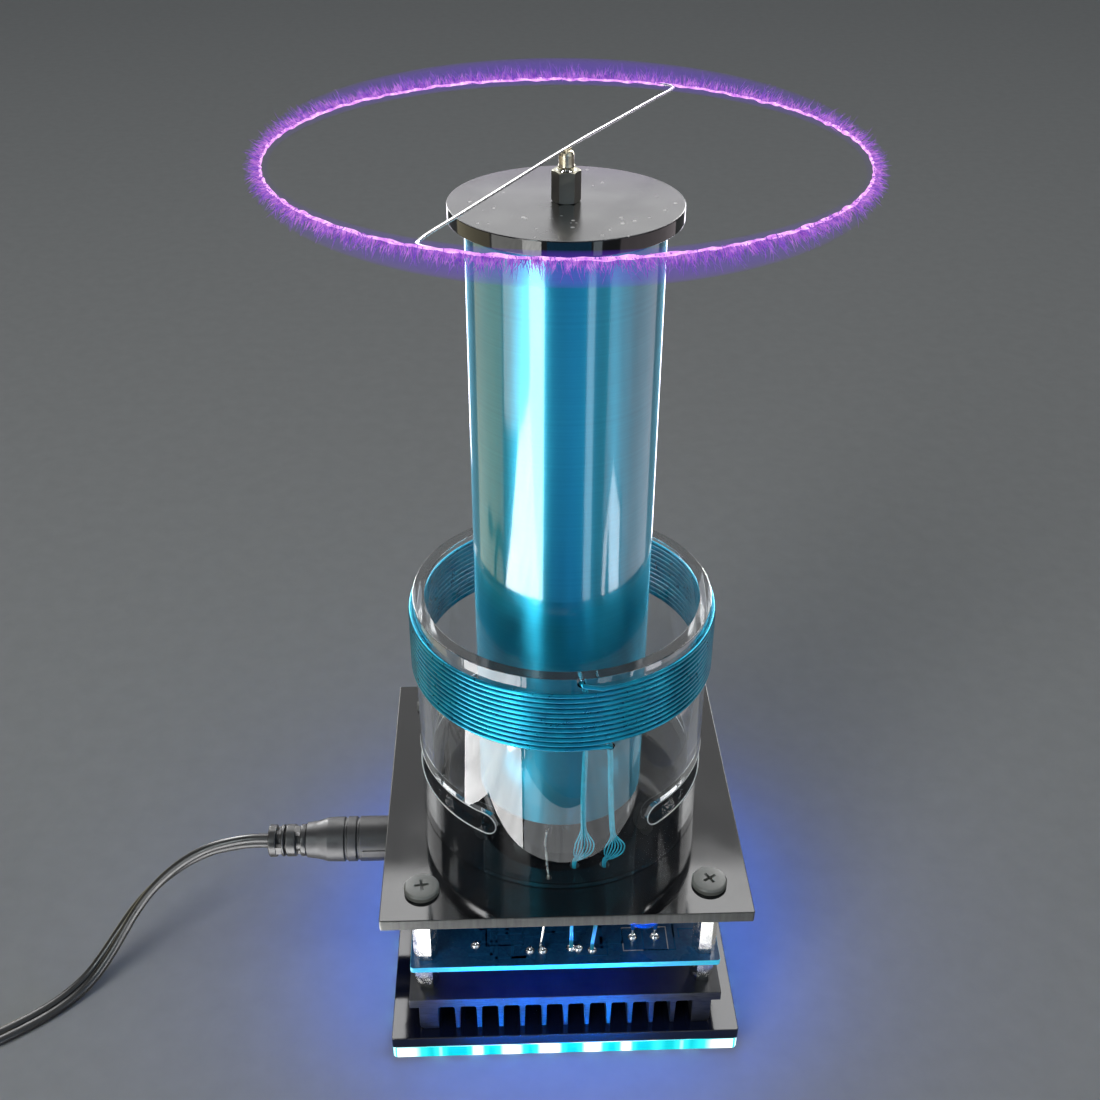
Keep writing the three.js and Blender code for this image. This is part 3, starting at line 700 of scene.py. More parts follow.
def circle(radius, x=0, y=0, count=40):
    angles = [2 * math.pi * k / count for k in range(count)]
    return [(x + radius * math.cos(a), y + radius * math.sin(a)) for a in angles]


def rounded_square(half_x, half_y, radius, count=6):
    corners = [(1, -1, -90), (1, 1, 0), (-1, 1, 90), (-1, -1, 180)]
    loop = []
    for side_x, side_y, first in corners:
        for k in range(count + 1):
            angle = math.radians(first + 90 * k / count)
            x = side_x * (half_x - radius) + radius * math.cos(angle)
            y = side_y * (half_y - radius) + radius * math.sin(angle)
            loop.append((x, y))
    return loop


def slab(name, loops, bottom, top, materials, edge=0.25, edge_slot=0):
    """A flat plate with softened edges. The first loop is its outline and the others are holes."""
    curve = bpy.data.curves.new(name, "CURVE")
    curve.dimensions = "2D"
    curve.fill_mode = "BOTH"
    curve.bevel_depth = edge * MM
    curve.bevel_resolution = 2
    curve.offset = -edge * MM
    curve.extrude = ((top - bottom) / 2 - edge) * MM
    for loop in loops:
        spline = curve.splines.new("POLY")
        spline.points.add(len(loop) - 1)
        for point, (x, y) in zip(spline.points, loop):
            point.co = (x * MM, y * MM, 0, 1)
        spline.use_cyclic_u = True
    source = linked(name, curve)
    mesh = bpy.data.meshes.new_from_object(source)
    bpy.data.objects.remove(source)
    bm = bmesh.new()
    bm.from_mesh(mesh)
    bmesh.ops.remove_doubles(bm, verts=bm.verts[:], dist=1e-6)
    bmesh.ops.translate(bm, verts=bm.verts[:], vec=(0, 0, (top + bottom) / 2 * MM))
    bmesh.ops.recalc_face_normals(bm, faces=bm.faces[:])
    bm.to_mesh(mesh)
    bm.free()
    mesh.materials.clear()
    for material in materials:
        mesh.materials.append(material)
    for face in mesh.polygons:
        face.material_index = edge_slot if abs(face.normal.z) < 0.9 else 0
    return smooth_object(name, mesh, 40)


# ---------------------------------------------------------------- power lead, plug and coil

CORD_WIDTH = 4.9
CORD_WIRE_R = 1.23
CORD_FLOOR_Z = 1.3

LEAD_ROUTE = [
    (-74.8, -1, 33.5), (-79, -1, 33.5), (-84, -1.1, 32.8), (-90, -1.4, 31.2), (-95.6, -2.2, 28.6),
    (-101, -3.6, 25.1), (-106, -5.5, 20.9), (-110.3, -8, 16.3), (-114, -11, 11.6), (-117.6, -14.6, 7.2),
    (-121.4, -18.5, 3.7), (-125.6, -22.6, 1.9), (-130, -26.6, CORD_FLOOR_Z), (-135, -30.6, CORD_FLOOR_Z),
    (-141, -34.6, CORD_FLOOR_Z), (-148, -38.2, CORD_FLOOR_Z), (-156, -41.2, 1.5), (-165, -43.2, 1.9),
    (-173, -43.9, 2.3), (-180, -44, 2.5),
]
BUNDLE_X = -192.0
BUNDLE_Y = -14.0
BUNDLE_R = 27.5
ROW_HEIGHT = 2.5
FIRST_ROW_Z = 2.55
FULL_TURNS = 5
# Each turn's place in the bundle, as (column, row), the outer column first.
TURN_PLACES = [(1, 0), (-1, 0), (-1, 1), (1, 1), (-1, 2), (1, 2)]
STEPS_PER_TURN = 48
TAIL = [(-222.0, -6, 7.0), (-221.8, 2, 6.4), (-221.4, 10, 5.8), (-221, 18, 5.4), (-220.7, 25.4, 5.3)]


def eased(t):
    t = min(1.0, max(0.0, t))
    return t * t * (3 - 2 * t)


def coil_turns():
    """The wound length: each turn keeps its own place and moves to the next one near its end."""
    line = []
    steps = FULL_TURNS * STEPS_PER_TURN + STEPS_PER_TURN // 4
    for i in range(1, steps + 1):
        done, within = divmod(i / STEPS_PER_TURN, 1)
        done = int(done)
        here = TURN_PLACES[min(done, len(TURN_PLACES) - 1)]
        then = TURN_PLACES[min(done + 1, len(TURN_PLACES) - 1)]
        share = eased((within - 0.85) / 0.15) if done < FULL_TURNS else 0.0
        column = here[0] + (then[0] - here[0]) * share
        row = here[1] + (then[1] - here[1]) * share
        azimuth = -math.pi / 2 - 2 * math.pi * i / STEPS_PER_TURN
        point = polar(BUNDLE_R + column * CORD_WIDTH / 2, azimuth, FIRST_ROW_Z + row * ROW_HEIGHT)
        line.append(point + Vector((BUNDLE_X, BUNDLE_Y, 0)))
    return line


def lead_line():
    start = catmull(LEAD_ROUTE + [(-188, -43.98, FIRST_ROW_Z)], 5)
    turns = coil_turns()
    end = catmull([turns[-1]] + TAIL, 5)
    return start + turns + end[1:]


def twin_cord(name, line):
    """Two round wires side by side. The pair starts on edge and lies flat by the time it lands."""
    shape = Shape()
    count = len(line)
    landed = len(LEAD_ROUTE) * 5 * 0.6
    sides = []
    for i in range(count):
        step = (line[min(i + 1, count - 1)] - line[max(i - 1, 0)]).normalized()
        level = step.cross(Vector((0, 0, 1))).normalized()
        tilt = math.radians(72) * (1 - eased(i / landed))
        sides.append(Matrix.Rotation(tilt, 3, step) @ level)
    for side in (-1, 1):
        wire = [p + s * (side * (CORD_WIDTH / 2 - CORD_WIRE_R)) for p, s in zip(line, sides)]
        wire = [Vector((p.x, p.y, max(p.z, CORD_WIRE_R + 0.03))) for p in wire]
        shape.tube(wire, CORD_WIRE_R, 12)
    return shape.make(name, black_vinyl, sharp=60)


PLUG_X = high("dc_plug").x  # tip of the barrel
PLUG_FACE = -38.0
PLUG_MIDDLE = Vector((PLUG_FACE, -1.0, 33.5))
PLUG_R = 5.7
RELIEF_R = 4.1
RELIEF_END_X = low("plug_strain_relief").x
LAID_BACK = spun(-90, "Y")


def plug():
    """Moulded plug body: a plain front sleeve, two grip grooves and a shoulder that tapers."""
    barrel = PLUG_X - PLUG_FACE
    body = fillet([
        (1.25, -barrel), (2.7, -barrel), (2.7, 0), (5.2, 0), (PLUG_R, 0.5), (PLUG_R, 13.2), (5.3, 13.35),
        (5.3, 13.85), (PLUG_R, 14.0), (PLUG_R, 16.3), (5.3, 16.45), (5.3, 16.95), (PLUG_R, 17.1),
        (5.55, 21.4), (4.75, 24.2), (4.4, 26.9), (0, 26.9), (0, 1), (1.25, 1), (1.25, -barrel),
    ], 0.25)
    place = Matrix.Translation(PLUG_MIDDLE) @ LAID_BACK
    shape = Shape().turned(body, 72, 0, place)
    for k in range(2):
        lug = Matrix.Rotation(math.pi * k + math.pi / 2, 4, "Z")
        shape.box((4.9, -1.1, 1.4), (PLUG_R + 0.18, 1.1, 12.4), 0, 0.25, place @ lug)
    return shape.make("plug_body", black_plastic)


def strain_relief():
    """Segmented sleeve: collars joined by two narrow bridges, with open gaps between them."""
    start = -64.9
    place = Matrix.Translation((start, PLUG_MIDDLE.y, PLUG_MIDDLE.z)) @ LAID_BACK
    length = start - RELIEF_END_X
    shape = Shape()
    core = 2.75
    collars = [(0.0, 1.5), (2.7, 5.2), (5.6, 6.4), (7.6, length)]
    for first, last in collars:
        shape.turned(fillet([(0, first), (RELIEF_R, first), (RELIEF_R, last), (0, last)], 0.35), 56, 0, place)
    shape.turned([(0, 0.2), (core, 0.2), (core, length - 0.3), (0, length - 0.3)], 40, 0, place)
    for turn in (0, 90, 180, 270):
        bridge = spun(turn)
        first, last = (1.3, 2.9) if turn % 180 == 0 else (6.2, 7.8)
        shape.box((2.2, -1.2, first), (RELIEF_R - 0.15, 1.2, last), 0, 0.2, place @ bridge)
    return shape.make("strain_relief_sleeve", black_vinyl)


def cord_tie():
    """A flat band round the bundle, with its two twisted ends."""
    lowest, highest = low("cord_tie"), high("cord_tie")
    middle = (lowest + highest) / 2
    half_y = (highest.y - lowest.y) / 2 - 0.5
    half_z = (highest.z - lowest.z) / 2 - 0.8
    loop = rounded_square(half_y, half_z, 1.6, 5)
    line = [Vector((middle.x, middle.y + y, middle.z + 0.35 + z)) for y, z in loop]
    line.append(line[0] + Vector((0.02, 0.02, 0)))
    shape = Shape()
    shape.tube(line, 1.0, 12, 0, section=lambda share, angle: 0.45 + 1.15 * abs(math.cos(angle)) ** 3)
    for side in (-1, 1):
        tail = []
        for k in range(14):
            t = k / 13
            wind = 5 * math.pi * t + (0 if side > 0 else math.pi)
            tail.append(Vector((
                middle.x + 0.5 * math.cos(wind) + side * 1.1 * max(0, t - 0.6),
                middle.y - 1 + 5.5 * t,
                highest.z - 0.1 + 0.45 * math.sin(wind) - 0.3,
            )))
        shape.tube(tail, 0.42, 8)
    return shape.make("twist_tie", black_plastic, sharp=60)


def connector():
    """The inline socket at the far end of the lead."""
    place = Matrix.Translation((low("lead_connector").x + 5.2, low("lead_connector").y, 5.3))
    along_y = spun(-90, "X")
    profile = fillet([
        (0, 0), (2.9, 0), (3.3, 1.2), (3.0, 1.8), (3.0, 2.6), (3.5, 3.1), (3.2, 3.7), (3.2, 4.5), (3.7, 5.0),
        (4.3, 8.4), (5.0, 10.2), (5.2, 11), (5.2, 17), (4.85, 17.3), (4.85, 19), (5.2, 19.3), (5.2, 36.8),
        (4.7, 37.5), (3.2, 37.5), (3.2, 28), (0, 28),
    ], 0.25)
    shape = Shape().turned(profile, 56, 0, place @ along_y)
    shape.turned([(0, 27.8), (1.0, 27.8), (1.0, 35), (0.7, 35.6), (0, 35.6)], 24, 1, place @ along_y)
    return shape.make("inline_socket", black_plastic, nickel)


lead_points = lead_line()
power_lead = finished(
    twin_cord("power_lead", lead_points), COIL, "black_rubber", "power_cord", "cord_coil", "cord_tail",
)
plug_body = finished(plug(), COIL, "black_plastic", "dc_plug")
relief_sleeve = finished(strain_relief(), COIL, "black_rubber", "plug_strain_relief")
tie_band = finished(cord_tie(), COIL, "black_plastic", "cord_tie")
far_socket = finished(connector(), COIL, "black_plastic", "lead_connector")


# ---------------------------------------------------------------- floor and soft light

FLOOR_SIDE = 12.0


def stage_patch(name, points, material):
    """One flat face for the stage."""
    mesh = bpy.data.meshes.new(name)
    mesh.from_pydata(points, [], [list(range(len(points)))])
    mesh.materials.append(material)
    patch = linked(name, mesh)
    return patch


def make_floor():
    """A pale table top with a very faint mottle."""
    s = Shader("pale_floor", (0.56, 0.57, 0.57), Roughness=1.0, Specular_IOR_Level=0.0)
    s.colors(s.noise(140, 5, 0.6), (0.3, (0.54, 0.555, 0.555)), (0.7, (0.58, 0.595, 0.595)))
    s.bump(s.noise(2600, 3), 0.01, 0.3)
    half = FLOOR_SIDE / 2
    stage_patch("floor", [(-half, -half, 0), (half, -half, 0), (half, half, 0), (-half, half, 0)], s.material)


def softbox(name, place, width, height, power, color=(1, 1, 1), aim=(0, 0, 0.1), gloss_only=False):
    """A soft rectangular light. With gloss_only it is a card: seen in reflections, lighting nothing."""
    data = bpy.data.lights.new(name, "AREA")
    data.shape = "RECTANGLE"
    data.size = width
    data.size_y = height
    data.energy = power
    data.color = color
    light = linked(name, data)
    light.location = place
    light.rotation_euler = (Vector(aim) - Vector(place)).to_track_quat("-Z", "Y").to_euler()
    light.visible_camera = False
    light.visible_transmission = False
    light.visible_diffuse = not gloss_only
    return light


WHITE = (1, 1, 1)

# Soft cards as (name, place, width, height, watts, colour). They show in reflections, lighting nothing.
SOFT_CARDS = [
    ("window_card", (-0.66, -0.83, 0.45), 0.34, 1.4, 4, WHITE),
    ("right_wall", (0.80, -0.62, 0.45), 1.0, 1.1, 3, (0.85, 0.93, 1.0)),
    ("left_wall", (-1.20, -0.10, 0.45), 0.40, 1.0, 0.5, (1.0, 0.9, 0.7)),
    ("edge_left", (-0.60, 1.15, 0.5), 0.22, 0.9, 12, WHITE),
    ("edge_right", (0.66, 1.15, 0.5), 0.22, 0.9, 14, WHITE),
    ("back_low", (0.0, 1.90, 0.72), 3.4, 0.62, 15, WHITE),
    ("back_middle", (0.0, 1.50, 1.24), 3.4, 0.5, 6, WHITE),
    ("back_high", (0.0, 1.10, 1.55), 3.4, 0.5, 36, WHITE),
    ("winding_card", (-0.62, -0.90, 0.75), 0.20, 0.5, 3.5, (0.8, 1.0, 1.0)),
    ("front_wall", (0.42, -1.3, 0.60), 0.9, 1.0, 2.1, (0.4, 0.68, 1.0)),
]

# Pale patches of the table round the object, for its upright glossy parts to mirror: each is a
# strength, a colour and corners as (degrees from -Y towards +X, millimetres from the axis).
TABLE_CARDS = [
    ("card_bright_left", 11, WHITE,
     [(-72, 66), (-26, 82), (-31, 200), (-42, 360), (-56, 320), (-78, 190), (-74, 140)]),
    ("card_pale_inner", 8, (1.0, 1.0, 0.97), [(-27, 130), (-31, 200), (-42, 360), (-44, 900), (-25, 900)]),
    ("card_pale_outer", 2.8, (1.0, 1.0, 0.95), [(-42, 360), (-58, 322), (-76, 330), (-76, 900), (-44, 900)]),
    ("card_grey_left", 1.1, (1.0, 0.9, 0.6), [(-128, 142), (-76, 142), (-79, 190), (-78, 900), (-128, 900)]),
    ("card_near_left", 0.3, (1.0, 1.0, 0.95), [(-128, 62), (-73, 66), (-75, 140), (-128, 140)]),
    ("card_front", 2.2, (0.95, 0.98, 1.0), [(-26, 84), (14, 84), (12, 112), (-27, 128)]),
    ("card_near_right", 1.6, (0.95, 0.98, 1.0), [(14, 84), (46, 72), (46, 140), (14, 140)]),
    ("card_blue_front", 0.8, (0.05, 0.5, 1.0),
     [(-20, 130), (12, 115), (14, 142), (21, 142), (21, 800), (-20, 800)]),
    ("card_stripe", 2.4, (0.8, 0.92, 1.0), [(22, 142), (32, 142), (31, 800), (23, 800)]),
    ("card_streaks_right", 5, (0.97, 0.95, 1.0),
     [(44, 142), (54, 250), (58, 170), (62, 142), (72, 142), (70, 250), (58, 290), (48, 230)]),
    ("card_grey_right", 1.0, (1.0, 0.88, 0.92),
     [(74, 142), (125, 142), (125, 800), (50, 800), (46, 240), (58, 300), (72, 260)]),
    ("card_dim_right", 0.3, (1.0, 1.0, 0.95), [(48, 70), (125, 62), (125, 140), (48, 140)]),
    ("card_back_left", 4.5, (0.9, 0.85, 1.0), [(-156, 260), (-168, 300), (-168, 900), (-160, 900)]),
    ("card_back_right", 4.5, (0.9, 0.85, 1.0), [(150, 160), (166, 200), (166, 900), (157, 900)]),
    ("card_standoffs", 8, WHITE, [(-32, 88), (-29, 70), (29, 70), (32, 88)]),
]
TABLE_CARD_Z = 2.0


def outwards(degrees):
    """The level direction at this angle from the front, -Y, towards +X."""
    turn = math.radians(degrees)
    return Vector((math.sin(turn), -math.cos(turn), 0))


def table_card(name, radiance, color, corners):
    """A glowing patch just over the table that only mirrors see. It lights nothing."""
    lift = Vector((0, 0, TABLE_CARD_Z * MM))
    points = [outwards(degrees) * reach * MM + lift for degrees, reach in corners]
    s = Shader(name, (0, 0, 0), Roughness=1.0, Emission_Color=(*color, 1))
    streaks = s.noise(1, 4, 0.7, (90, 12, 1))
    s.set("Emission Strength", s.ramp(streaks, [(0.3, 0.72 * radiance), (0.7, 1.2 * radiance)]))
    card = stage_patch(name, points, s.material)
    card.visible_camera = False
    card.visible_diffuse = False
    card.visible_transmission = False
    card.visible_shadow = False


def make_light():
    world = bpy.data.worlds.new("studio")
    world.use_nodes = True
    background = world.node_tree.nodes["Background"].inputs
    background["Color"].default_value = (0.2, 0.21, 0.22, 1)
    background["Strength"].default_value = 0.5
    bpy.context.scene.world = world
    bpy.context.scene.view_settings.view_transform = "Standard"
    softbox("overhead", (0.1, -0.3, 1.9), 1.4, 1.4, 4.6)
    softbox("window_left", (-0.70, -0.84, 0.50), 0.42, 1.2, 3.4)
    for card in SOFT_CARDS:
        softbox(*card, gloss_only=True)
    for card in TABLE_CARDS:
        table_card(*card)
    make_glow_lamps()


def make_glow_lamps():
    """The light that the lit foot throws on the table round it and up the front of the stack."""
    reach = (FOOT_SIDE / 2 + 1.5) * MM
    up = Vector((0, 0, 0.020))
    for side, label in enumerate(SIDES):
        out = outwards(90 * side)
        softbox(
            f"glow_{label}", out * reach + up, 0.08, 0.012, 0.010, (0.003, 0.14, 1.0),
            out * (reach + 0.020),
        ).visible_glossy = False
    bloom = softbox(
        "glow_bloom", (-0.004, -0.066, 0.006), 0.040, 0.002, 0.085, (0.0, 0.2, 1.0),
        (-0.004, -0.036, 0.014),
    )
    bloom.data.spread = math.radians(60)
    bloom.visible_glossy = False


make_floor()
make_light()


# ---------------------------------------------------------------- more shape helpers


def copied(obj, name, place_mm, turn=(0, 0, 0)):
    """Another object of the same mesh, moved to place_mm and turned."""
    made = linked(name, obj.data)
    made.location = Vector(place_mm) * MM
    made.rotation_euler = turn
    return made


def at_corners(sources, slot, turns=None, tilt=0.0):
    """Copies at the stack's four corners. sources are (object, height, copy's name, CAD node's name),
    tilt turns them about X and turns[corner] about Z."""
    for label, (x, y) in CORNERS.items():
        for source, z, name, node in sources:
            turn = (tilt, 0, turns[label] if turns else 0)
            made = copied(source, f"{name}_{label}", (x, y, z), turn)
            finished(made, COIL, slot, f"{node}_{label}")
    for source, *_ in sources:
        bpy.data.objects.remove(source)


def hex_ring(flats, z, largest=1e9):
    """A ring round a hexagon with a flat to the front, cut down to a circle of radius largest."""
    ring = []
    for k in range(72):
        angle = math.radians(5 * k)
        within = math.radians(5 * k % 60 - 30)
        ring.append(polar(min(flats / 2 / math.cos(within), largest), angle, z))
    return ring


def round_ring(radius, z):
    return [polar(radius, math.radians(5 * k), z) for k in range(72)]


def hex_spacer(shape, flats, bottom, top, bore):
    """A hexagonal spacer, its corners turned down to a circle at both ends, with a threaded bore."""
    end_radius = flats / 2 * 1.02
    corner = flats / math.sqrt(3)
    slope = 0.6

    def shoulder(z, inwards):
        return [Vector((p.x, p.y, z + inwards * slope * max(0.0, p.to_2d().length - end_radius)))
                for p in hex_ring(flats, z, corner)]

    rings = [
        round_ring(bore + 0.3, bottom), hex_ring(flats, bottom, end_radius), shoulder(bottom, 1),
        shoulder(top, -1), hex_ring(flats, top, end_radius), round_ring(bore + 0.35, top),
    ]
    z = top - 0.35
    while z > max(bottom + 0.4, top - 4):
        rings += [round_ring(bore, z), round_ring(bore - 0.2, z - 0.25)]
        z -= 0.5
    rings.append(round_ring(bore, bottom + 0.3))
    return shape.rings(rings, closed=True)


THREAD_PITCH = 0.5
STUD_R = 1.42


def thread(shape, radius, bottom, top):
    """A rod with thread crests, from bottom to top."""
    profile = [(0, bottom), (radius * 0.8, bottom)]
    z = bottom + 0.3
    while z + THREAD_PITCH < top:
        profile += [(radius * 0.86, z), (radius, z + THREAD_PITCH / 2)]
        z += THREAD_PITCH
    profile += [(radius * 0.86, top - 0.15), (radius * 0.7, top), (0, top)]
    return shape.turned(profile, 24)


def cross_cutters(reach, wide, top, depth):
    """Two tapering bars, which cut the shape of a Phillips driver's point."""
    bars = []
    for turn in (0, 90):
        rings = []
        for long, across, z in ((1.0, 1.0, top + 0.5), (1.0, 1.0, top), (0.45, 0.7, top - depth)):
            x, y = reach * long, wide / 2 * across
            rings.append([(-x, -y, z), (x, -y, z), (x, y, z), (-x, y, z)])
        spin = spun(turn)
        bars.append(Shape().bar(rings, spin).make("cross_cutter", screw_black))
    return bars


def cross_screw(name, head, recess, shank_r, length, material):
    """head is the head's profile from its rim on z = 0 up to its middle. recess is the cross's
    reach, width, top and depth."""
    shape = Shape().turned([(0, -0.01), (head[0][0], 0)] + fillet(head[1:], 0.3, 4), 72)
    blank = carved(shape.make(name, material), cross_cutters(*recess))
    rod = thread(Shape(), shank_r, -length, 0.2).make(name + "_shank", material)
    mesh = blank.data
    bm = bmesh.new()
    bm.from_mesh(mesh)
    bm.from_mesh(rod.data)
    bm.to_mesh(mesh)
    bm.free()
    for used in (rod, blank):
        bpy.data.objects.remove(used)
    screw = smooth_object(name, mesh, 30)
    edges = screw.modifiers.new("soft_edges", "BEVEL")
    edges.width = 0.05 * MM
    edges.segments = 2
    edges.limit_method = "ANGLE"
    edges.angle_limit = math.radians(40)
    return screw


CORNER = 33.5
CORNERS = {
    "front_left": (-CORNER, -CORNER), "front_right": (CORNER, -CORNER),
    "back_right": (CORNER, CORNER), "back_left": (-CORNER, CORNER),
}


# ---------------------------------------------------------------- glowing foot


def light_guide():
    """Clear plate with a lit outer edge, LED channels cut in its top and screw pockets below."""
    half = FOOT_SIDE / 2
    top = high("light_guide_plate").z
    outline = rounded_square(half, half, 1.2)
    plate = slab("light_guide", [outline], 0.05, top, [clear_acrylic, lit_acrylic], 0.15, 1)
    cutters = []
    for side in range(4):
        spin = spun(90 * side)
        channel = Shape().box((-34, -41.3, 0.8), (34, -37.3, top + 1), 0, 0, spin)
        cutters.append(channel.make("channel", clear_acrylic))
    for x, y in CORNERS.values():
        spot = Matrix.Translation((x, y, 0))
        pocket = [(0, -1), (3.3, -1), (3.3, 2.6), (1.7, 2.6), (1.7, top + 1), (0, top + 1)]
        cutters.append(Shape().turned(pocket, 40, 0, spot).make("pocket", clear_acrylic))
    return carved(plate, cutters)


guide = finished(light_guide(), COIL, "clear_acrylic", "light_guide_plate")
guide.visible_diffuse = False


def led_tape(name):
    """White tape with tinned pads, eight LEDs with glowing windows, and small resistors between."""
    shape = Shape()
    shape.box((-33, -1.7, 0), (33, 1.7, 0.3), 0, 0.05)
    places = [-30.8 + 9 * k for k in range(4)] + [6.6 + 8 * k for k in range(4)]
    for x in places:
        shape.box((x - 1.5, -1.4, 0.3), (x + 1.5, 0.2, 1.45), 1, 0.12)
        shape.box((x - 1.1, -1.46, 0.5), (x + 1.1, -1.34, 1.3), 2, 0.03)
        for side in (-1, 1):
            shape.box((x + side * 1.9 - 0.35, -1.2, 0.28), (x + side * 1.9 + 0.35, -0.1, 0.36), 3, 0.02)
        shape.box((x + 3.0, 0.5, 0.3), (x + 4.2, 1.2, 0.75), 4, 0.06)
    return shape.make(name, tape_white, led_body, led_window, solder, screw_black)


def led_material():
    """The window of an LED, glowing pale blue."""
    s = Shader("led_window", (0.2, 0.6, 0.9), Roughness=0.3, Emission_Color=(0.25, 0.8, 1.0, 1))
    s.set("Emission Strength", s.ramp(s.noise(900), [(0.3, 5.0), (0.7, 8.0)]))
    return s.material


led_window = led_material()
led_body = plain_material("led_body", (0.8, 0.82, 0.84), 0.4)
tape = led_tape("led_tape")
for side, label in enumerate(SIDES):
    spot = outwards(90 * side) * 39.3 + Vector((0, 0, 0.85))
    strip = copied(tape, f"tape_{label}", spot, (0, 0, math.radians(90 * side)))
    finished(strip, COIL, "led_tape", f"led_tape_{label}")
bpy.data.objects.remove(tape)


base_screw = cross_screw(
    "base_screw", [(2.8, 0), (2.8, 0.5), (2.4, 1.3), (1.2, 1.85), (0, 1.9)], (1.55, 0.62, 1.9, 1.2),
    STUD_R, 20, zinc,
)
FOOT_SCREW_TURNS = {"front_left": -1.5, "front_right": 1.1, "back_right": 2.3, "back_left": -0.3}
at_corners([(base_screw, 2.55, "foot_screw", "base_screw")], "zinc_steel", FOOT_SCREW_TURNS, math.pi)


# ---------------------------------------------------------------- plates


def corner_loops(radius):
    return [circle(radius, x, y, 32) for x, y in CORNERS.values()]


def square_plate(node, extra_holes, edge_material, edge):
    """A black sheet with a screw hole at each corner and the extra holes given."""
    lowest, highest = low(node), high(node)
    loops = [rounded_square(highest.x, highest.x, 0.6)] + corner_loops(1.7) + extra_holes
    plate = slab(f"{node}_glossy", loops, lowest.z, highest.z, [black_acrylic, edge_material], edge, 1)
    finished(plate, COIL, "black_acrylic", node)


# The laser-cut edge of a black sheet is a little greyer and finely streaked up and down.
acrylic_edge = streaked_material(
    "black_acrylic_edge", (0.14, 0.15, 0.16), (900, 900, 60), 0.6, (0.085, 0.088, 0.08), (0.15, 0.152, 0.14),
    (0.28, 0.42), 0.4, IOR=1.35, Roughness=0.35,
)
START_HOLE = (2.3, -25.5)
END_HOLE = (9.2, -25.4)
GROUND_HOLE = (-3.8, -29.2)
# The base plate's edge keeps the plain black of its faces instead of the greyer cut-edge material: painted
# shade, as that edge lies in shadow.
square_plate("base_plate", [circle(0.9, 0, 40.5, 20)], black_acrylic, 0.2)
square_plate(
    "top_plate", [circle(1.0, *START_HOLE, 24), circle(1.0, *END_HOLE, 24), circle(0.6, *GROUND_HOLE, 20)],
    acrylic_edge, 0.22,
)

top_screw = cross_screw(
    "top_screw", [(4.1, 0), (4.1, 1.0), (3.8, 1.45), (2.2, 1.62), (0, 1.66)], (1.75, 0.7, 1.66, 1.1),
    STUD_R, 10, screw_grey,
)
SCREW_TURNS = {"front_left": 0.12, "front_right": 0.55, "back_right": 1.1, "back_left": 0.3}
plate_screws = [(top_screw, high("top_plate").z + 0.05, "plate_screw", "top_screw")]
at_corners(plate_screws, "black_steel", SCREW_TURNS)


# ---------------------------------------------------------------- heat sink and standoffs

FIN_PITCH = 5.24
FIN_THICK = 1.25
FOOT_R = 1.5


def foot_curve(x, bottom, first_quarter):
    """The rounded foot of a thick wall: five points round a circle of FOOT_R."""
    points = []
    for k in range(5):
        angle = math.pi * (first_quarter / 2 + k / 8)
        points.append((x + FOOT_R * math.cos(angle), bottom + FOOT_R + FOOT_R * math.sin(angle)))
    return points


def heat_sink():
    """Extruded along Y: a slab on top, eleven fins and two thick walls with rounded feet."""
    lowest, highest = low("heat_sink"), high("heat_sink")
    slab_z = highest.z - 2.7
    block, wall = 35.5, 30.9
    outline = [(highest.x, slab_z)]
    outline += [(highest.x - 2 * highest.x * k / 36, highest.z) for k in range(36)]
    outline += [(-highest.x, highest.z), (-highest.x, slab_z), (-block, slab_z)]
    outline += foot_curve(FOOT_R - block, lowest.z, 2)
    outline += [(-wall, lowest.z), (-wall, slab_z - 0.4), (-wall + 0.4, slab_z)]
    thin, thick = FIN_THICK / 2 - 0.12, FIN_THICK / 2 + 0.05
    for i in range(-5, 6):
        x = i * FIN_PITCH
        outline += [(x - thick - 0.4, slab_z), (x - thick, slab_z - 0.5), (x - thin, lowest.z),
                    (x + thin, lowest.z), (x + thick, slab_z - 0.5), (x + thick + 0.4, slab_z)]
    outline += [(wall - 0.4, slab_z), (wall, slab_z - 0.4), (wall, lowest.z)]
    outline += foot_curve(block - FOOT_R, lowest.z, 3)
    outline.append((block, slab_z))
    sink = slab("sink", [outline], lowest.y, highest.y, [anodised, fin_end], 0.14)
    sink.data.transform(spun(90, "X"))
    for face in sink.data.polygons:
        face.material_index = 1 if abs(face.normal.y) > 0.95 else 0
    cutters = []
    for x, y in CORNERS.values():
        spot = Matrix.Translation((x, y, 0))
        hole = Shape().turned([(0, 0), (1.7, 0), (1.7, 20), (0, 20)], 24, 0, spot)
        cutters.append(hole.make("hole", anodised))
    return carved(sink, cutters)


# The sawn ends of the fins, where the anodising is thin and the metal shows through.
fin_end = streaked_material(
    "sawn_fin_end", (0.018, 0.019, 0.022), (300, 300, 3800), 0.7, (0.012, 0.013, 0.018), (0.05, 0.053, 0.06),
    (0.25, 0.5), 0.5, Metallic=0.5, Roughness=0.4,
)
finished(heat_sink(), COIL, "black_anodised", "heat_sink")

HEX_FLATS = 5.0
HEX_BORE_R = 1.6


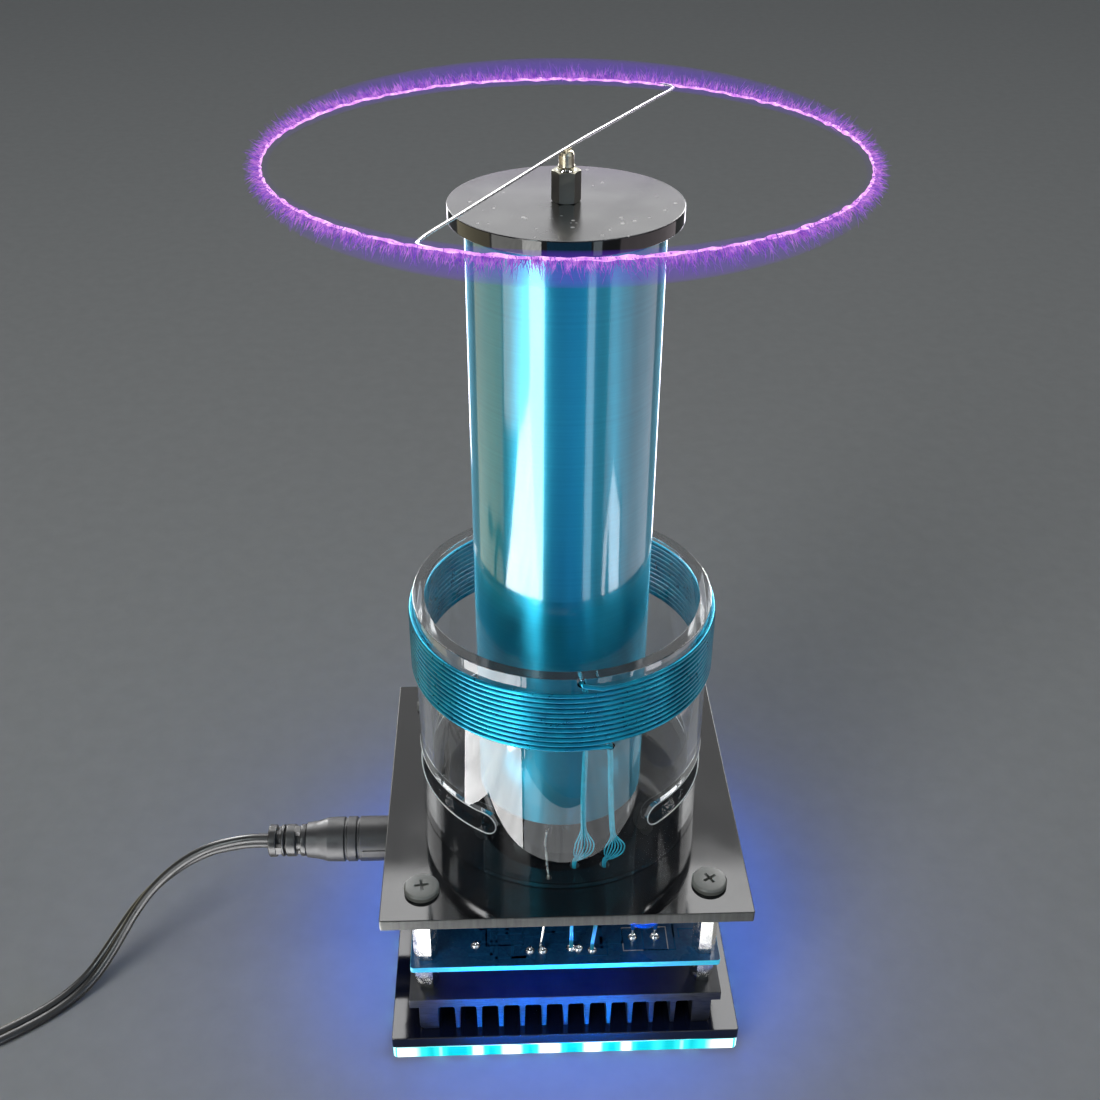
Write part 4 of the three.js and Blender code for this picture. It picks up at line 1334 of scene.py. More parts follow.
def standoffs():
    """Two spacers at each corner. The lower one's stud passes up through the board."""
    low_z, stud_z = low("lower_standoff_front_left").z, high("lower_standoff_front_left").z
    board_z = low("circuit_board").z - 0.05
    lower = Shape()
    hex_spacer(lower, HEX_FLATS, low_z, board_z, HEX_BORE_R)
    thread(lower, STUD_R, board_z - 1, stud_z)
    lower = lower.make("lower_standoff", nickel, sharp=25)
    bottom, top = low("upper_standoff_front_left").z, high("upper_standoff_front_left").z
    upper = hex_spacer(Shape(), HEX_FLATS, bottom, top, HEX_BORE_R).make("upper_standoff", nickel, sharp=25)
    sources = [(lower, 0, "lower_spacer", "lower_standoff"), (upper, 0, "upper_spacer", "upper_standoff")]
    at_corners(sources, "nickel")


standoffs()


# ---------------------------------------------------------------- circuit board

BOARD_Z = high("circuit_board").z


def board():
    lowest, highest = low("circuit_board"), high("circuit_board")
    loops = [rounded_square(highest.x, highest.y, 0.8)] + corner_loops(1.7)
    return slab("board", loops, lowest.z, highest.z, [board_mask, pcb_edge_painted_glow], 0.08, 1)


def solder_pad(shape, x, y, size=1.15):
    """A tinned ring with its blob of solder and the end of a leg."""
    ring = [(0.2, 0.0), (size, 0.0), (size, 0.06), (0.2, 0.07), (0.2, 0.0)]
    shape.turned(ring, 24, 0, Matrix.Translation((x, y, BOARD_Z)))
    shape.dome((x, y, BOARD_Z + 0.04), size * 0.85, 0.75)
    shape.tube([(x, y, BOARD_Z), (x + 0.1, y, BOARD_Z + 1.5)], 0.3, 8)


def silk_line(shape, points, width=0.22):
    """Printed lines, as thin raised strips from point to point."""
    for a, b in zip(points, points[1:]):
        a, b = Vector(a), Vector(b)
        if (b - a).length < 0.01:
            continue
        along = (b - a).normalized() * width / 2
        across = Vector((-along.y, along.x))
        corners = [a - along - across, b + along - across, b + along + across, a - along + across]
        shape.bar([[Vector((c.x, c.y, BOARD_Z + z)) for c in corners] for z in (0.0, 0.05)])


def silk_box(shape, x0, y0, x1, y1):
    silk_line(shape, [(x0, y0), (x1, y0), (x1, y1), (x0, y1), (x0, y0)])


# Where parts' legs are soldered, the printed outlines' corners, and the small chips as (x, y, turn).
PAD_PLACES = [
    (-21.6, -31.6), (-8.5, -33.6), (-5.4, -33.7), (1.5, -33.1), (6.5, -33.9), (3.2, -33.4), (16.6, -30.2),
    (22.0, -30.2), (-30, -10), (-30, 8), (26, -22), (27, 10), (30, 24), (-28, 30),
]
OUTLINES = [
    (-30, 14, -14, 28), (12.6, 14.4, 27.4, 21.6), (15.8, -8, 20.2, 8), (-8, -20, 4, -12), (-37, -7, -22, 5),
    (21, -20, 33, -6),
]
CHIP_PLACES = [
    (27, -13, 0), (27, -17, 0), (-18, -24, 90), (-12, -24, 90), (-27, -22, 0), (10, -12, 0), (10, -18, 90),
    (-18, 6, 90), (6, 26, 0), (-4, 26, 0), (28, 30, 90),
]
PIN_PITCH = 2.54
GRID = PIN_PITCH / 2


def solder_joints():
    pads = Shape()
    for x, y in PAD_PLACES:
        solder_pad(pads, x, y)
    for k in range(6):
        solder_pad(pads, -6 + PIN_PITCH * k, 34.5)
    for x in (-15, 15):
        for k in (-1, 0, 1):
            solder_pad(pads, x + PIN_PITCH * k, 20.3, 0.95)
    return pads.make("solder_joints", solder)


def board_tracks():
    """Copper runs with right-angled bends on the board's grid, each ending in a via."""
    tracks = Shape()
    drawn = random.Random(7)
    for k in range(64):
        x, y = GRID * drawn.randint(-24, 24), GRID * drawn.randint(-25, 25)
        points = [(x, y)]
        for leg in range(3):
            step = GRID * drawn.randint(2, 7) * drawn.choice((-1, 1))
            x, y = (x + step, y) if leg % 2 == k % 2 else (x, y + step)
            x, y = max(-34.5, min(34.5, x)), max(-35.5, min(35.5, y))
            points.append((x, y))
        silk_line(tracks, points, drawn.choice((0.35, 0.35, 0.7)))
        via = [(0.16, 0), (0.5, 0), (0.5, 0.08), (0.16, 0.08), (0.16, 0)]
        tracks.turned(via, 14, 0, Matrix.Translation((x, y, BOARD_Z)))
    return tracks.make("board_tracks", masked_copper, sharp=20)


def printed_outlines():
    silk = Shape()
    silk_box(silk, 14.1, -34.3, 24.9, -27.2)
    for x in (16.6, 22.0):
        silk_line(silk, [(x, -31.4), (x, -29.2)])
    for corners in OUTLINES:
        silk_box(silk, *corners)
    return silk.make("printed_outlines", silk_white, sharp=20)


def surface_parts():
    """Small two-ended chips, and two flat packages with four bent legs on each side."""
    chips = Shape()
    for x, y, turn in CHIP_PLACES:
        spot = Matrix.Translation((x, y, BOARD_Z)) @ spun(turn)
        chips.box((-0.75, -0.6, 0.03), (0.75, 0.6, 0.55), 0, 0.06, spot)
        for side in (-1, 1):
            chips.box((side * 1.0 - 0.3, -0.62, 0.02), (side * 1.0 + 0.3, 0.62, 0.56), 1, 0.06, spot)
    for k in range(2):
        spot = Matrix.Translation((-20 + 40 * k, -11 + 4 * k, BOARD_Z))
        chips.box((-2.4, -1.95, 0.15), (2.4, 1.95, 1.7), 0, 0.2, spot)
        for side in (-1, 1):
            for j in range(4):
                x = -1.9 + GRID * j
                leg = [(x, side * out, z) for out, z in ((1.8, 0.95), (2.5, 0.9), (2.7, 0.2), (3.3, 0.12))]
                chips.tube(leg, 0.2, 6, 1, None, spot)
    return chips.make("surface_parts", screw_black, solder)


finished(board(), COIL, "blue_board", "circuit_board")
finished(solder_joints(), COIL, "tinned_wire")
finished(board_tracks(), COIL, "blue_board")
finished(printed_outlines(), COIL, "led_tape")
finished(surface_parts(), COIL, "black_plastic")


def dc_jack():
    """Moulded power jack, open at the plug's end, with its centre pin and rear leg frame."""
    lowest, highest = low("dc_jack"), high("dc_jack")
    shape = Shape().box(lowest, highest, 0, 0.4, None, 3)
    collar = (highest.x - 3.2, lowest.y - 0.15, lowest.z + 0.4)
    shape.box(collar, (highest.x - 2.2, highest.y + 0.15, highest.z - 1), 0, 0.1)
    jack = shape.make("jack_body", jack_plastic)
    turn = spun(90, "Y")
    axis = Matrix.Translation((lowest.x, PLUG_MIDDLE.y, PLUG_MIDDLE.z)) @ turn
    bore = Shape().turned([(0, -1), (3.15, -1), (3.15, 10.5), (0, 10.5)], 48, 0, axis)
    jack = carved(jack, [bore.make("bore", jack_plastic)])
    pin = Shape().turned([(0, 0.9), (0.5, 1.0), (0.95, 1.6), (0.95, 10.9), (0, 10.9)], 24, 0, axis)
    for side in (-3.6, 3.6):
        y = PLUG_MIDDLE.y + side
        pin.box((lowest.x + 9, y - 0.5, BOARD_Z - 2.4), (lowest.x + 9.6, y + 0.5, BOARD_Z + 2), 0, 0.1)
    finished(jack, COIL, "black_plastic", "dc_jack")
    finished(pin.make("jack_contacts", nickel), COIL, "nickel")


dc_jack()


def radial_capacitor():
    """A sleeved can, crimped near its base, with a scored top and a printed stripe."""
    middle = (low("bulk_capacitor") + high("bulk_capacitor")) / 2
    top = high("bulk_capacitor").z
    bottom = low("bulk_capacitor").z
    place = Matrix.Translation((middle.x, middle.y, 0))
    sleeve = fillet([
        (0, bottom), (4.9, bottom), (5, bottom + 0.5), (5, bottom + 1.2), (4.7, bottom + 1.7),
        (5, bottom + 2.2), (5, top - 0.3), (4.7, top), (4.1, top), (4.1, top - 0.25), (0, top - 0.25),
    ], 0.2)
    shape = Shape().turned(sleeve, 56, 0, place)
    shape.turned([(0, top - 0.3), (4.1, top - 0.3), (4.05, top - 0.12), (0, top - 0.1)], 56, 1, place)
    for turn in (0, 60, 120):
        spin = place @ spun(turn)
        shape.box((-3.4, -0.09, top - 0.2), (3.4, 0.09, top - 0.06), 2, 0.03, spin)
    for k in range(5):
        z = bottom + 3.4 + 2.3 * k
        for a in range(-2, 3):
            spin = place @ spun(200 + 4 * a)
            shape.box((4.9, -0.2, z), (5.03, 0.2, z + 1.2), 3, 0.02, spin)
    return shape.make("bulk_capacitor_can", cap_sleeve, tinned, screw_black, silk_white)


def film_capacitor():
    """A moulded box on two legs."""
    lowest, highest = low("film_capacitor"), high("film_capacitor")
    shape = Shape().box(lowest + Vector((0, 0, 0.3)), highest, 0, 0.9, None, 4)
    for x in (15, 25):
        shape.tube([(x, 18, lowest.z - 1.2), (x, 18, lowest.z + 0.8)], 0.3, 8, 1)
    return shape.make("film_capacitor_case", red_film, tinned)


def driver_chip():
    """An eight-legged package with a round mark at one end."""
    lowest, highest = low("driver_chip"), high("driver_chip")
    shape = Shape().box(lowest + Vector((0, 0.3, 0.6)), highest - Vector((0, 0.3, 0)), 0, 0.25, None, 3)
    notch = Matrix.Translation((lowest.x + 0.9, (lowest.y + highest.y) / 2, highest.z - 0.02))
    shape.turned([(0, 0), (0.7, 0), (0.7, 0.03), (0, 0.03)], 24, 1, notch)
    for side in (lowest.y, highest.y):
        away = -1 if side == lowest.y else 1
        for k in range(4):
            x = (lowest.x + highest.x) / 2 - 3.81 + PIN_PITCH * k
            bend = ((-0.4, 2), (0.25, 1.9), (0.4, 1.2), (0.4, -1.2))
            leg = [(x, side + out * away, lowest.z + z) for out, z in bend]
            shape.tube(leg, 0.32, 6, 1)
    return shape.make("driver_chip_body", black_plastic, tinned)


def disc_capacitor():
    """A dipped capacitor: a lens of blue epoxy that runs down its two legs."""
    lowest, highest = low("small_capacitor"), high("small_capacitor")
    middle = (lowest + highest) / 2
    centre = Vector((middle.x, middle.y, highest.z - 3))
    shape = Shape()
    rings = []
    for i in range(17):
        angle = math.pi * i / 16
        reach = math.sin(angle)
        squash = 1.6 * reach ** 0.8
        lift = -3 * math.cos(angle)
        ring = []
        for k in range(40):
            a = 2 * math.pi * k / 40
            ring.append(centre + Vector((3.4 * reach * math.cos(a), squash * math.sin(a), lift)))
        rings.append(ring if 0 < i < 16 else [centre + Vector((0, 0, lift))])
    shape.rings(rings)
    for side in (-1, 1):
        x = middle.x + side * 2.7
        drip = [(x - side * 0.3, 0.4), (x, 2), (x, 3.4)]
        drip = [(across, middle.y, centre.z - down) for across, down in drip]
        shape.tube(drip, lambda share: 0.95 - 0.5 * share, 14)
        shape.tube([(x, middle.y, centre.z - 2.6), (x, middle.y, BOARD_Z - 1)], 0.32, 8, 1)
    return shape.make("dipped_capacitor", blue_epoxy, tinned)


def axial_resistor():
    """A waisted body with four colour bands and two bent legs."""
    middle = (low("resistor") + high("resistor")) / 2
    place = Matrix.Translation(middle) @ spun(90, "X")
    body = fillet([
        (0, -3.2), (1.0, -3.15), (1.2, -2.6), (1.2, -2.0), (1.0, -1.5), (1.0, 1.5), (1.2, 2.0), (1.2, 2.6),
        (1.0, 3.15), (0, 3.2),
    ], 0.3)
    shape = Shape().turned(body, 40, 0, place)
    for z, slot in ((-2.3, 1), (-0.8, 2), (0.2, 1), (1.1, 3)):
        r = 1.22 if abs(z) > 2 else 1.02
        band = [(r - 0.2, z - 0.25), (r, z - 0.25), (r, z + 0.25), (r - 0.2, z + 0.25), (r - 0.2, z - 0.25)]
        shape.turned(band, 40, slot, place)
    for side in (-1, 1):
        leg = [(middle.x, middle.y + side * out, z) for out, z in (
            (2.8, middle.z), (5.4, middle.z), (6.2, middle.z - 0.4), (6.4, BOARD_Z - 1),
        )]
        shape.tube(catmull(leg, 4), 0.3, 8, 4)
    return shape.make("axial_resistor", resistor_blue, band_brown, screw_black, red_vinyl, tinned)


finished(radial_capacitor(), COIL, "black_sleeve", "bulk_capacitor")
finished(film_capacitor(), COIL, "red_film", "film_capacitor")
finished(driver_chip(), COIL, "black_plastic", "driver_chip")
finished(disc_capacitor(), COIL, "blue_epoxy", "small_capacitor")
finished(axial_resistor(), COIL, "resistor_body", "resistor")


# ---------------------------------------------------------------- power transistors on the heat sink


TRANSISTORS = {"left": -15, "right": 15}
TAB_HOLE_Y = 4.0


def transistor(name, x):
    """Flat package with its holed metal tab and three cranked legs up to the board."""
    loops = [[(-5.1, -3.1), (5.1, -3.1), (5.1, 12.3), (-5.1, 12.3)], circle(1.8, 0, 0, 32)]
    tab = slab(f"tab_{name}", loops, 0, 1.3, [tab_metal], 0.12)
    body = Shape().box((-5.1, 3.2, 0.02), (5.1, 12.4, 4.4), 0, 0.35, None, 3)
    for k in (-1, 0, 1):
        across = PIN_PITCH * k
        leg = [(across, y, z) for y, z in ((12.0, 2.6), (15.2, 2.6), (16.3, 3.4), (16.3, 7.6))]
        body.tube(catmull(leg, 5), 0.42, 8, 1)
    body = body.make(f"case_{name}", black_plastic, tinned)
    place = Vector((x, TAB_HOLE_Y, low(f"power_transistor_{name}").z))
    for piece in (tab, body):
        piece.data.transform(Matrix.Translation(place * MM))
    finished(body, COIL, "black_plastic", f"power_transistor_{name}")
    finished(tab, COIL, "zinc_steel")


def thermal_pad(name, x):
    bottom = low(f"thermal_pad_{name}").z
    loops = [[(x - 6, -0.4), (x + 6, -0.4), (x + 6, 17.6), (x - 6, 17.6)], circle(1.8, x, TAB_HOLE_Y, 28)]
    pad = slab(f"pad_{name}", loops, bottom, bottom + 0.3, [pad_grey], 0.06)
    finished(pad, COIL, "grey_pad", f"thermal_pad_{name}")


for name, x in TRANSISTORS.items():
    transistor(name, x)
    thermal_pad(name, x)

tab_screw = cross_screw(
    "tab_screw", [(2.6, 0), (2.6, 0.5), (2.2, 1.3), (1.1, 1.85), (0, 1.9)], (1.35, 0.55, 1.9, 1.1),
    1.2, 4.2, zinc,
)
for name, x in TRANSISTORS.items():
    place = (x, TAB_HOLE_Y, high(f"transistor_screw_{name}").z - 1.9)
    screw = copied(tab_screw, f"tab_screw_{name}", place, (0, 0, 0.3 + x))
    finished(screw, COIL, "zinc_steel", f"transistor_screw_{name}")
bpy.data.objects.remove(tab_screw)


def led_lead():
    """A red and black pair from the board's back edge down to the foot."""
    down = ((36.2, 28.1), (38, 28.5), (39.8, 27.9), (40.5, 25.5), (40.5, 15), (40.5, 7), (40.5, 2.2))
    route = catmull([(0, y, z) for y, z in down], 8)
    shape = Shape()
    for side in (-1, 1):
        shape.tube([p + Vector((side * 0.42, 0, 0)) for p in route], 0.42, 10, 0 if side < 0 else 1)
    return shape.make("led_lead_pair", black_vinyl, red_vinyl, sharp=60)


finished(led_lead(), COIL, "black_rubber", "led_lead")


# ---------------------------------------------------------------- primary tube, winding and leads

PRIMARY_R = high("primary_tube").x
PRIMARY_BORE_R = 31.5
SLOT_Z = 64.5
SLOT_HALF = 3.0
SLOT_TURNS = (2.75, 182.75)
SLOT_SPAN = 54.35
START_AZ = math.atan2(-34.2, 2.6)
END_AZ = math.atan2(-33.2, 9.5)
START_Z = 108.35
END_Z = 90.2


def slot_cutter(turn):
    """A round-ended slot through the wall, as a bent bar of flattened round-ended section."""
    inner, outer = PRIMARY_BORE_R - 1.5, PRIMARY_R + 1.5
    steps = 48
    rings = []
    end = math.degrees(SLOT_HALF / PRIMARY_R)
    for i in range(steps + 1):
        azimuth = -SLOT_SPAN - end + i / steps * 2 * (SLOT_SPAN + end)
        beyond = max(0.0, abs(azimuth) - SLOT_SPAN) / end
        half = max(0.05, SLOT_HALF * math.sqrt(max(0.0, 1 - beyond * beyond)))
        angle = math.radians(azimuth + turn)
        section = ((inner, -half), (outer, -half), (outer, half), (inner, half))
        rings.append([polar(r, angle, SLOT_Z + z) for r, z in section])
    return Shape().bar(rings).make("slot_cutter", clear_acrylic)


def wall_drill(azimuth, z, radius, middle):
    """A short rod that points outwards through a tube's wall."""
    turn = Matrix.Rotation(azimuth, 4, "Z") @ spun(90, "Y")
    turn = Matrix.Translation(polar(middle, azimuth, z)) @ turn
    rod = Shape().turned([(0, -4), (radius, -4), (radius, 4), (0, 4)], 20, 0, turn)
    return rod.make("drill", clear_acrylic)


def clear_tube(node, bore, edge, segments, cutters):
    """A clear tube with a polished upper end, and an end glued to the plate that shows black."""
    bottom, top, radius = low(node).z, high(node).z, high(node).x
    wall = [(bore, bottom), (radius, bottom), (radius, top), (bore, top), (bore, bottom)]
    tube = Shape().turned(fillet(wall, edge, 2), segments)
    tube = carved(tube.make(f"{node}_clear", clear_acrylic, cut_acrylic, black_acrylic), cutters)
    with_wall_normals(tube, bore, radius)
    for face in tube.data.polygons:
        height = face.center.z / MM
        if abs(height - top) < 0.15 and face.normal.z > 0.5:
            face.material_index = 1
        else:
            face.material_index = 2 if height - bottom < 0.3 else 0
    finished(tube, COIL, "clear_acrylic", node)


clear_tube("primary_tube", PRIMARY_BORE_R, 0.18, 160, [
    *(slot_cutter(turn) for turn in SLOT_TURNS),
    wall_drill(START_AZ, START_Z, 0.9, 33),
    wall_drill(END_AZ, END_Z, 0.9, 33),
])

RIM_HIGHLIGHT_R = 0.15


def slot_rim_highlights():
    """A thin white tube along the outer edge of each of the two slots: a painted highlight, standing in for
    the thin bright line that the polished rims catch.
    """
    shape = Shape()
    for turn in SLOT_TURNS:
        line = []
        for side in (1, -1):
            for k in range(41):
                azimuth = math.radians(turn + side * SLOT_SPAN * (2 * k / 40 - 1))
                line.append(polar(PRIMARY_R - 0.02, azimuth, SLOT_Z + side * SLOT_HALF))
            for k in range(1, 12):
                angle = math.pi * k / 12
                azimuth = math.radians(turn + side * SLOT_SPAN)
                azimuth += side * SLOT_HALF / PRIMARY_R * math.sin(angle)
                line.append(polar(PRIMARY_R - 0.02, azimuth, SLOT_Z + side * SLOT_HALF * math.cos(angle)))
        rings = []
        for i, p in enumerate(line):
            along = (line[(i + 1) % len(line)] - line[i - 1]).normalized()
            out = Vector((p.x, p.y, 0)).normalized()
            across = along.cross(out)
            angles = [math.pi * k / 3 for k in range(6)]
            rings.append([p + (out * math.cos(a) + across * math.sin(a)) * RIM_HIGHLIGHT_R for a in angles])
        shape.rings(rings, 0, closed=True)
    return shape.make("primary_slot_rim_highlights", rim_painted_highlight, sharp=60)


# White for the tubes along the slot edges: a painted highlight.
rim_painted_highlight = plain_material("rim_painted_highlight", (0.86, 0.88, 0.87), 0.3)
finished(slot_rim_highlights(), COIL, "clear_acrylic", "primary_tube")

PRIMARY_WIRE_R = 0.52
WIRE_RING_R = PRIMARY_R + PRIMARY_WIRE_R + 0.05
TOP_TURN_Z = 107.0
LAST_TURN_Z = END_Z + 1.0


def winding_line():
    """From the start hole anticlockwise, down to the end hole, with a short bend into each hole."""
    turns = 12 + (END_AZ - START_AZ) / (2 * math.pi)
    pitch = (TOP_TURN_Z - LAST_TURN_Z) / turns
    steps = int(turns * 96)
    line = [
        polar(PRIMARY_R - 1.5, START_AZ, START_Z), polar(PRIMARY_R - 0.2, START_AZ, START_Z),
        polar(WIRE_RING_R - 0.15, START_AZ + 0.012, START_Z - 0.25),
    ]
    for i in range(2, steps - 1):
        share = i / steps
        wander = 0.035 * math.sin(37 * share * 2 * math.pi) + 0.03 * math.sin(13.7 * share * 2 * math.pi)
        azimuth = START_AZ + share * turns * 2 * math.pi
        line.append(polar(WIRE_RING_R, azimuth, TOP_TURN_Z - share * turns * pitch + wander))
    return line + [
        polar(WIRE_RING_R, END_AZ - 0.03, END_Z + 0.75),
        polar(WIRE_RING_R - 0.1, END_AZ - 0.008, END_Z + 0.15),
        polar(PRIMARY_R - 0.2, END_AZ, END_Z), polar(PRIMARY_R - 1.5, END_AZ, END_Z),
    ]


winding = Shape().tube(winding_line(), PRIMARY_WIRE_R, 12)
winding = winding.make("primary_winding_wire", blue_wire, sharp=70)
finished(winding, COIL, "blue_wire", "primary_winding")

LEAD_STRANDS = 7
STRAND_R = 0.17
lead_wire = plain_material("bright_blue_wire", (0.05, 0.62, 0.85), 0.25)


# Half widths of a lead: gathered at its ends, a slim ribbon down the tube, and fanned out.
GATHERED = 0.3
RIBBON = 0.45
FANNED = 2.1


def half_width(share, fan_at):
    """Half the lead's width at this share of its length. It is widest near the share fan_at."""
    ribbon = (RIBBON - GATHERED) * eased(share / 0.12) * eased((fan_at + 0.12 - share) / 0.08)
    fan = (FANNED - RIBBON) * eased((share - fan_at + 0.10) / 0.06) * eased((fan_at + 0.09 - share) / 0.11)
    return GATHERED + ribbon + fan


def stranded_lead(name, node, route, fan_at):
    """A flat bundle of strands, which gather into a round bunch where it is narrow."""
    line = catmull(route, 10)
    shape = Shape()
    count = len(line)
    for j in range(LEAD_STRANDS):
        place = 2 * j / (LEAD_STRANDS - 1) - 1
        strand = []
        for i, p in enumerate(line):
            share = i / (count - 1)
            half = half_width(share, fan_at)
            step = (line[min(i + 1, count - 1)] - line[max(i - 1, 0)]).normalized()
            side = step.cross(Vector((0, 1, 0))).normalized()
            out = side.cross(step)
            bunch = max(0.0, 1 - half / 1.7)
            twist = 2.2 * math.pi * place + 5 * share
            strand.append(p + side * (place * half) + out * (bunch * 0.5 * math.sin(twist)))
        shape.tube(strand, STRAND_R, 10)
    finished(shape.make(name, lead_wire, sharp=70), COIL, "blue_wire", node)


start_route = [
    polar(33.2, START_AZ, START_Z), polar(31.2, START_AZ, START_Z - 0.1), (3.0, -30.2, 107),
    (3.7, -29.9, 103), (3.9, -29.9, 88), (3.7, -29.6, 74), (3.9, -29.2, 64), (4.2, -28.4, 57),
    (3.2, -26.6, 52.2), (*START_HOLE, 49.6), (*START_HOLE, 44), (2.1, -27.5, 40), (1.6, -32, 34),
    (1.5, -33.1, 30), (1.5, -33.1, 27.2),
]
end_route = [
    polar(33.2, END_AZ, END_Z), polar(31.4, END_AZ, END_Z - 0.1), (8.8, -28.8, 89), (9.3, -28.7, 85),
    (9.7, -28.6, 74), (10.4, -28.2, 62), (11.2, -27.4, 56), (10.2, -26.4, 52), (*END_HOLE, 49.6),
    (*END_HOLE, 44), (8.8, -27.5, 40), (7.2, -32.8, 34), (6.5, -33.9, 30), (6.5, -33.9, 27.2),
]
stranded_lead("start_lead", "primary_lead_start", start_route, 0.53)
stranded_lead("end_lead", "primary_lead_end", end_route, 0.5)


# ---------------------------------------------------------------- secondary tube, winding and top

SECONDARY_TUBE_R = high("secondary_tube").x
SECONDARY_BORE_R = 17.5
SECONDARY_WALL_R = 18.6
ANCHOR_Z = 53.8
ANCHORS = [math.atan2(-19.6, -3.9), math.atan2(-20, 0.3)]
TOP_LEAD_Z = 194.4

clear_tube("secondary_tube", SECONDARY_BORE_R, 0.15, 120, [
    *(wall_drill(azimuth, ANCHOR_Z, 0.75, SECONDARY_WALL_R) for azimuth in ANCHORS),
    wall_drill(math.pi / 2, TOP_LEAD_Z, 0.7, SECONDARY_WALL_R),
])


def secondary_winding():
    """Close turns of fine wire under lacquer, with a slight swell at both ends and a few ridges."""
    bottom, top = low("secondary_winding").z, high("secondary_winding").z
    inner = SECONDARY_TUBE_R + 0.03
    outer = high("secondary_winding").x
    rows = 280
    uneven = random.Random(11)
    profile = [(inner, bottom)]
    for i in range(rows + 1):
        z = bottom + 0.1 + (top - bottom - 0.2) * i / rows
        end = min(1.0, 6 * min(i, rows - i) / rows * 4)
        ripple = 0.004 * (i % 2) + 0.002 * uneven.random()
        profile.append((outer - 0.06 + 0.05 * end + ripple, z))
    profile += [(inner, top), (inner, bottom)]
    return Shape().turned(profile, 128).make("secondary_wire_layer", enamel, sharp=80)


finished(secondary_winding(), COIL, "wire_enamel", "secondary_winding")


def fine_lead(name, node, route):
    wire = Shape().tube(catmull(route, 8), 0.3, 10).make(name, tinned, sharp=70)
    finished(wire, COIL, "tinned_wire", node)


ground_route = [
    polar(17.6, ANCHORS[0], ANCHOR_Z), polar(20.5, ANCHORS[0], ANCHOR_Z - 0.1), (-4.4, -21.6, 52.2),
    (-4.2, -22.6, 49.8), (-4.1, -24, 48.95), (-4, -26, 48.85), (-3.9, -28.2, 48.9), (*GROUND_HOLE, 47.8),
    (*GROUND_HOLE, 44), (-4.4, -31, 38), (-5.6, -33.2, 31), (-6, -33.5, 27.3),
]
top_route = [
    (0, 19.4, TOP_LEAD_Z), (0, 17.6, TOP_LEAD_Z), (0, 14, 193.2), (0, 8, 192.6), (0, 3.5, 193.2),
    (0, 1.6, 194.3),
]
fine_lead("ground_wire", "ground_lead", ground_route)
fine_lead("disc_wire", "top_lead", top_route)


def top_disc():
    """A dusty black disc with a polished rim and a hole for its screw."""
    radius = high("top_disc").x
    bottom, top = low("top_disc").z, high("top_disc").z
    profile = fillet([(1.7, bottom), (radius, bottom), (radius, top), (1.7, top), (1.7, bottom)], 0.22, 3)
    disc = Shape().turned(profile, 160).make("disc", dusty_acrylic, black_acrylic)
    for face in disc.data.polygons:
        if abs(face.normal.z) < 0.5:
            face.material_index = 1
    return disc


finished(top_disc(), COIL, "black_acrylic", "top_disc")

disc_screw = cross_screw(
    "disc_fixing", [(2.7, 0), (2.7, 0.5), (2.3, 1.25), (1.2, 1.75), (0, 1.8)], (1.4, 0.56, 1.8, 1.1),
    STUD_R, 6, zinc,
)
disc_screw.rotation_euler = (math.pi, 0, 0.5)
disc_screw.location = (0, 0, 196.95 * MM)
finished(disc_screw, COIL, "zinc_steel", "disc_screw")

post = hex_spacer(Shape(), HEX_FLATS, low("hex_post").z, high("hex_post").z, HEX_BORE_R)
finished(post.make("hex_post_nickel", post_nickel, sharp=25), COIL, "nickel", "hex_post")


def needle():
    """A threaded stud that is turned down to a sharp point."""
    bottom, tip = low("pivot_needle").z, high("pivot_needle").z
    shape = thread(Shape(), STUD_R, bottom, 205.5)
    point = [
        (0, 205.2), (1.1, 205.2), (1.1, 205.6), (0.55, 206), (0.55, 207.2), (0.06, tip - 0.02), (0, tip),
    ]
    return shape.turned(fillet(point, 0.08), 32).make("needle", needle_steel)


finished(needle(), COIL, "zinc_steel", "pivot_needle")


# ---------------------------------------------------------------- ion rotor and its plasma ring

ROTOR_REST = spun(62)
ROTOR_TIP_R = 57.2


def rotor_hub():
    """A brass cup spun to a shallow cone, with a rolled lip and two crimps that hold the wire."""
    bottom, top = low("rotor_hub").z, high("rotor_hub").z
    cup = fillet([
        (0, 209.35), (0.95, 208.3), (0.95, bottom + 0.15), (1.1, bottom), (1.5, bottom), (1.65, bottom + 0.2),
        (1.65, bottom + 0.45), (1.5, bottom + 0.65), (1.5, 209.1), (1.2, top - 0.2), (0.9, top), (0, top),
    ], 0.12)
    shape = Shape().turned(cup, 48)
    for x in (-0.85, 0.85):
        for first, last in ((-0.55, -0.33), (0.33, 0.55)):
            shape.box((x - 0.35, first, top - 0.35), (x + 0.35, last, top + 0.3), 0, 0.08, ROTOR_REST)
    return shape.make("rotor_cup", brass)


def rotor_wire():
    """One straight wire over the cup, drooping a little and bent sideways at both tips."""
    centre_z = high("rotor_hub").z + 0.35
    half = [
        (2, 0, 0.0), (8, 0, 0.02), (24, 0, 0.25), (42, 0, 0.5), (54, 0, 0.68), (56.6, 0.7, 0.73),
        (ROTOR_TIP_R, 2.6, 0.75), (ROTOR_TIP_R, 5, 0.75),
    ]
    near = [(x, y, centre_z - drop) for x, y, drop in half]
    far = [(-x, -y, z) for x, y, z in reversed(near)]

    def pointed(share):
        return 0.3 * min(1.0, 0.15 + 30 * min(share, 1 - share))

    line = catmull(far + [(0, 0, centre_z)] + near, 8)
    return Shape().tube(line, pointed, 12, 0, None, ROTOR_REST).make("rotor_arms", tinned, sharp=70)


finished(rotor_hub(), ROTOR, "brass", "rotor_hub")
finished(rotor_wire(), ROTOR, "tinned_wire", "rotor_wire")

PLASMA_R = 57.3
PLASMA_Z = 209.5
PLASMA_REACH = 60.4


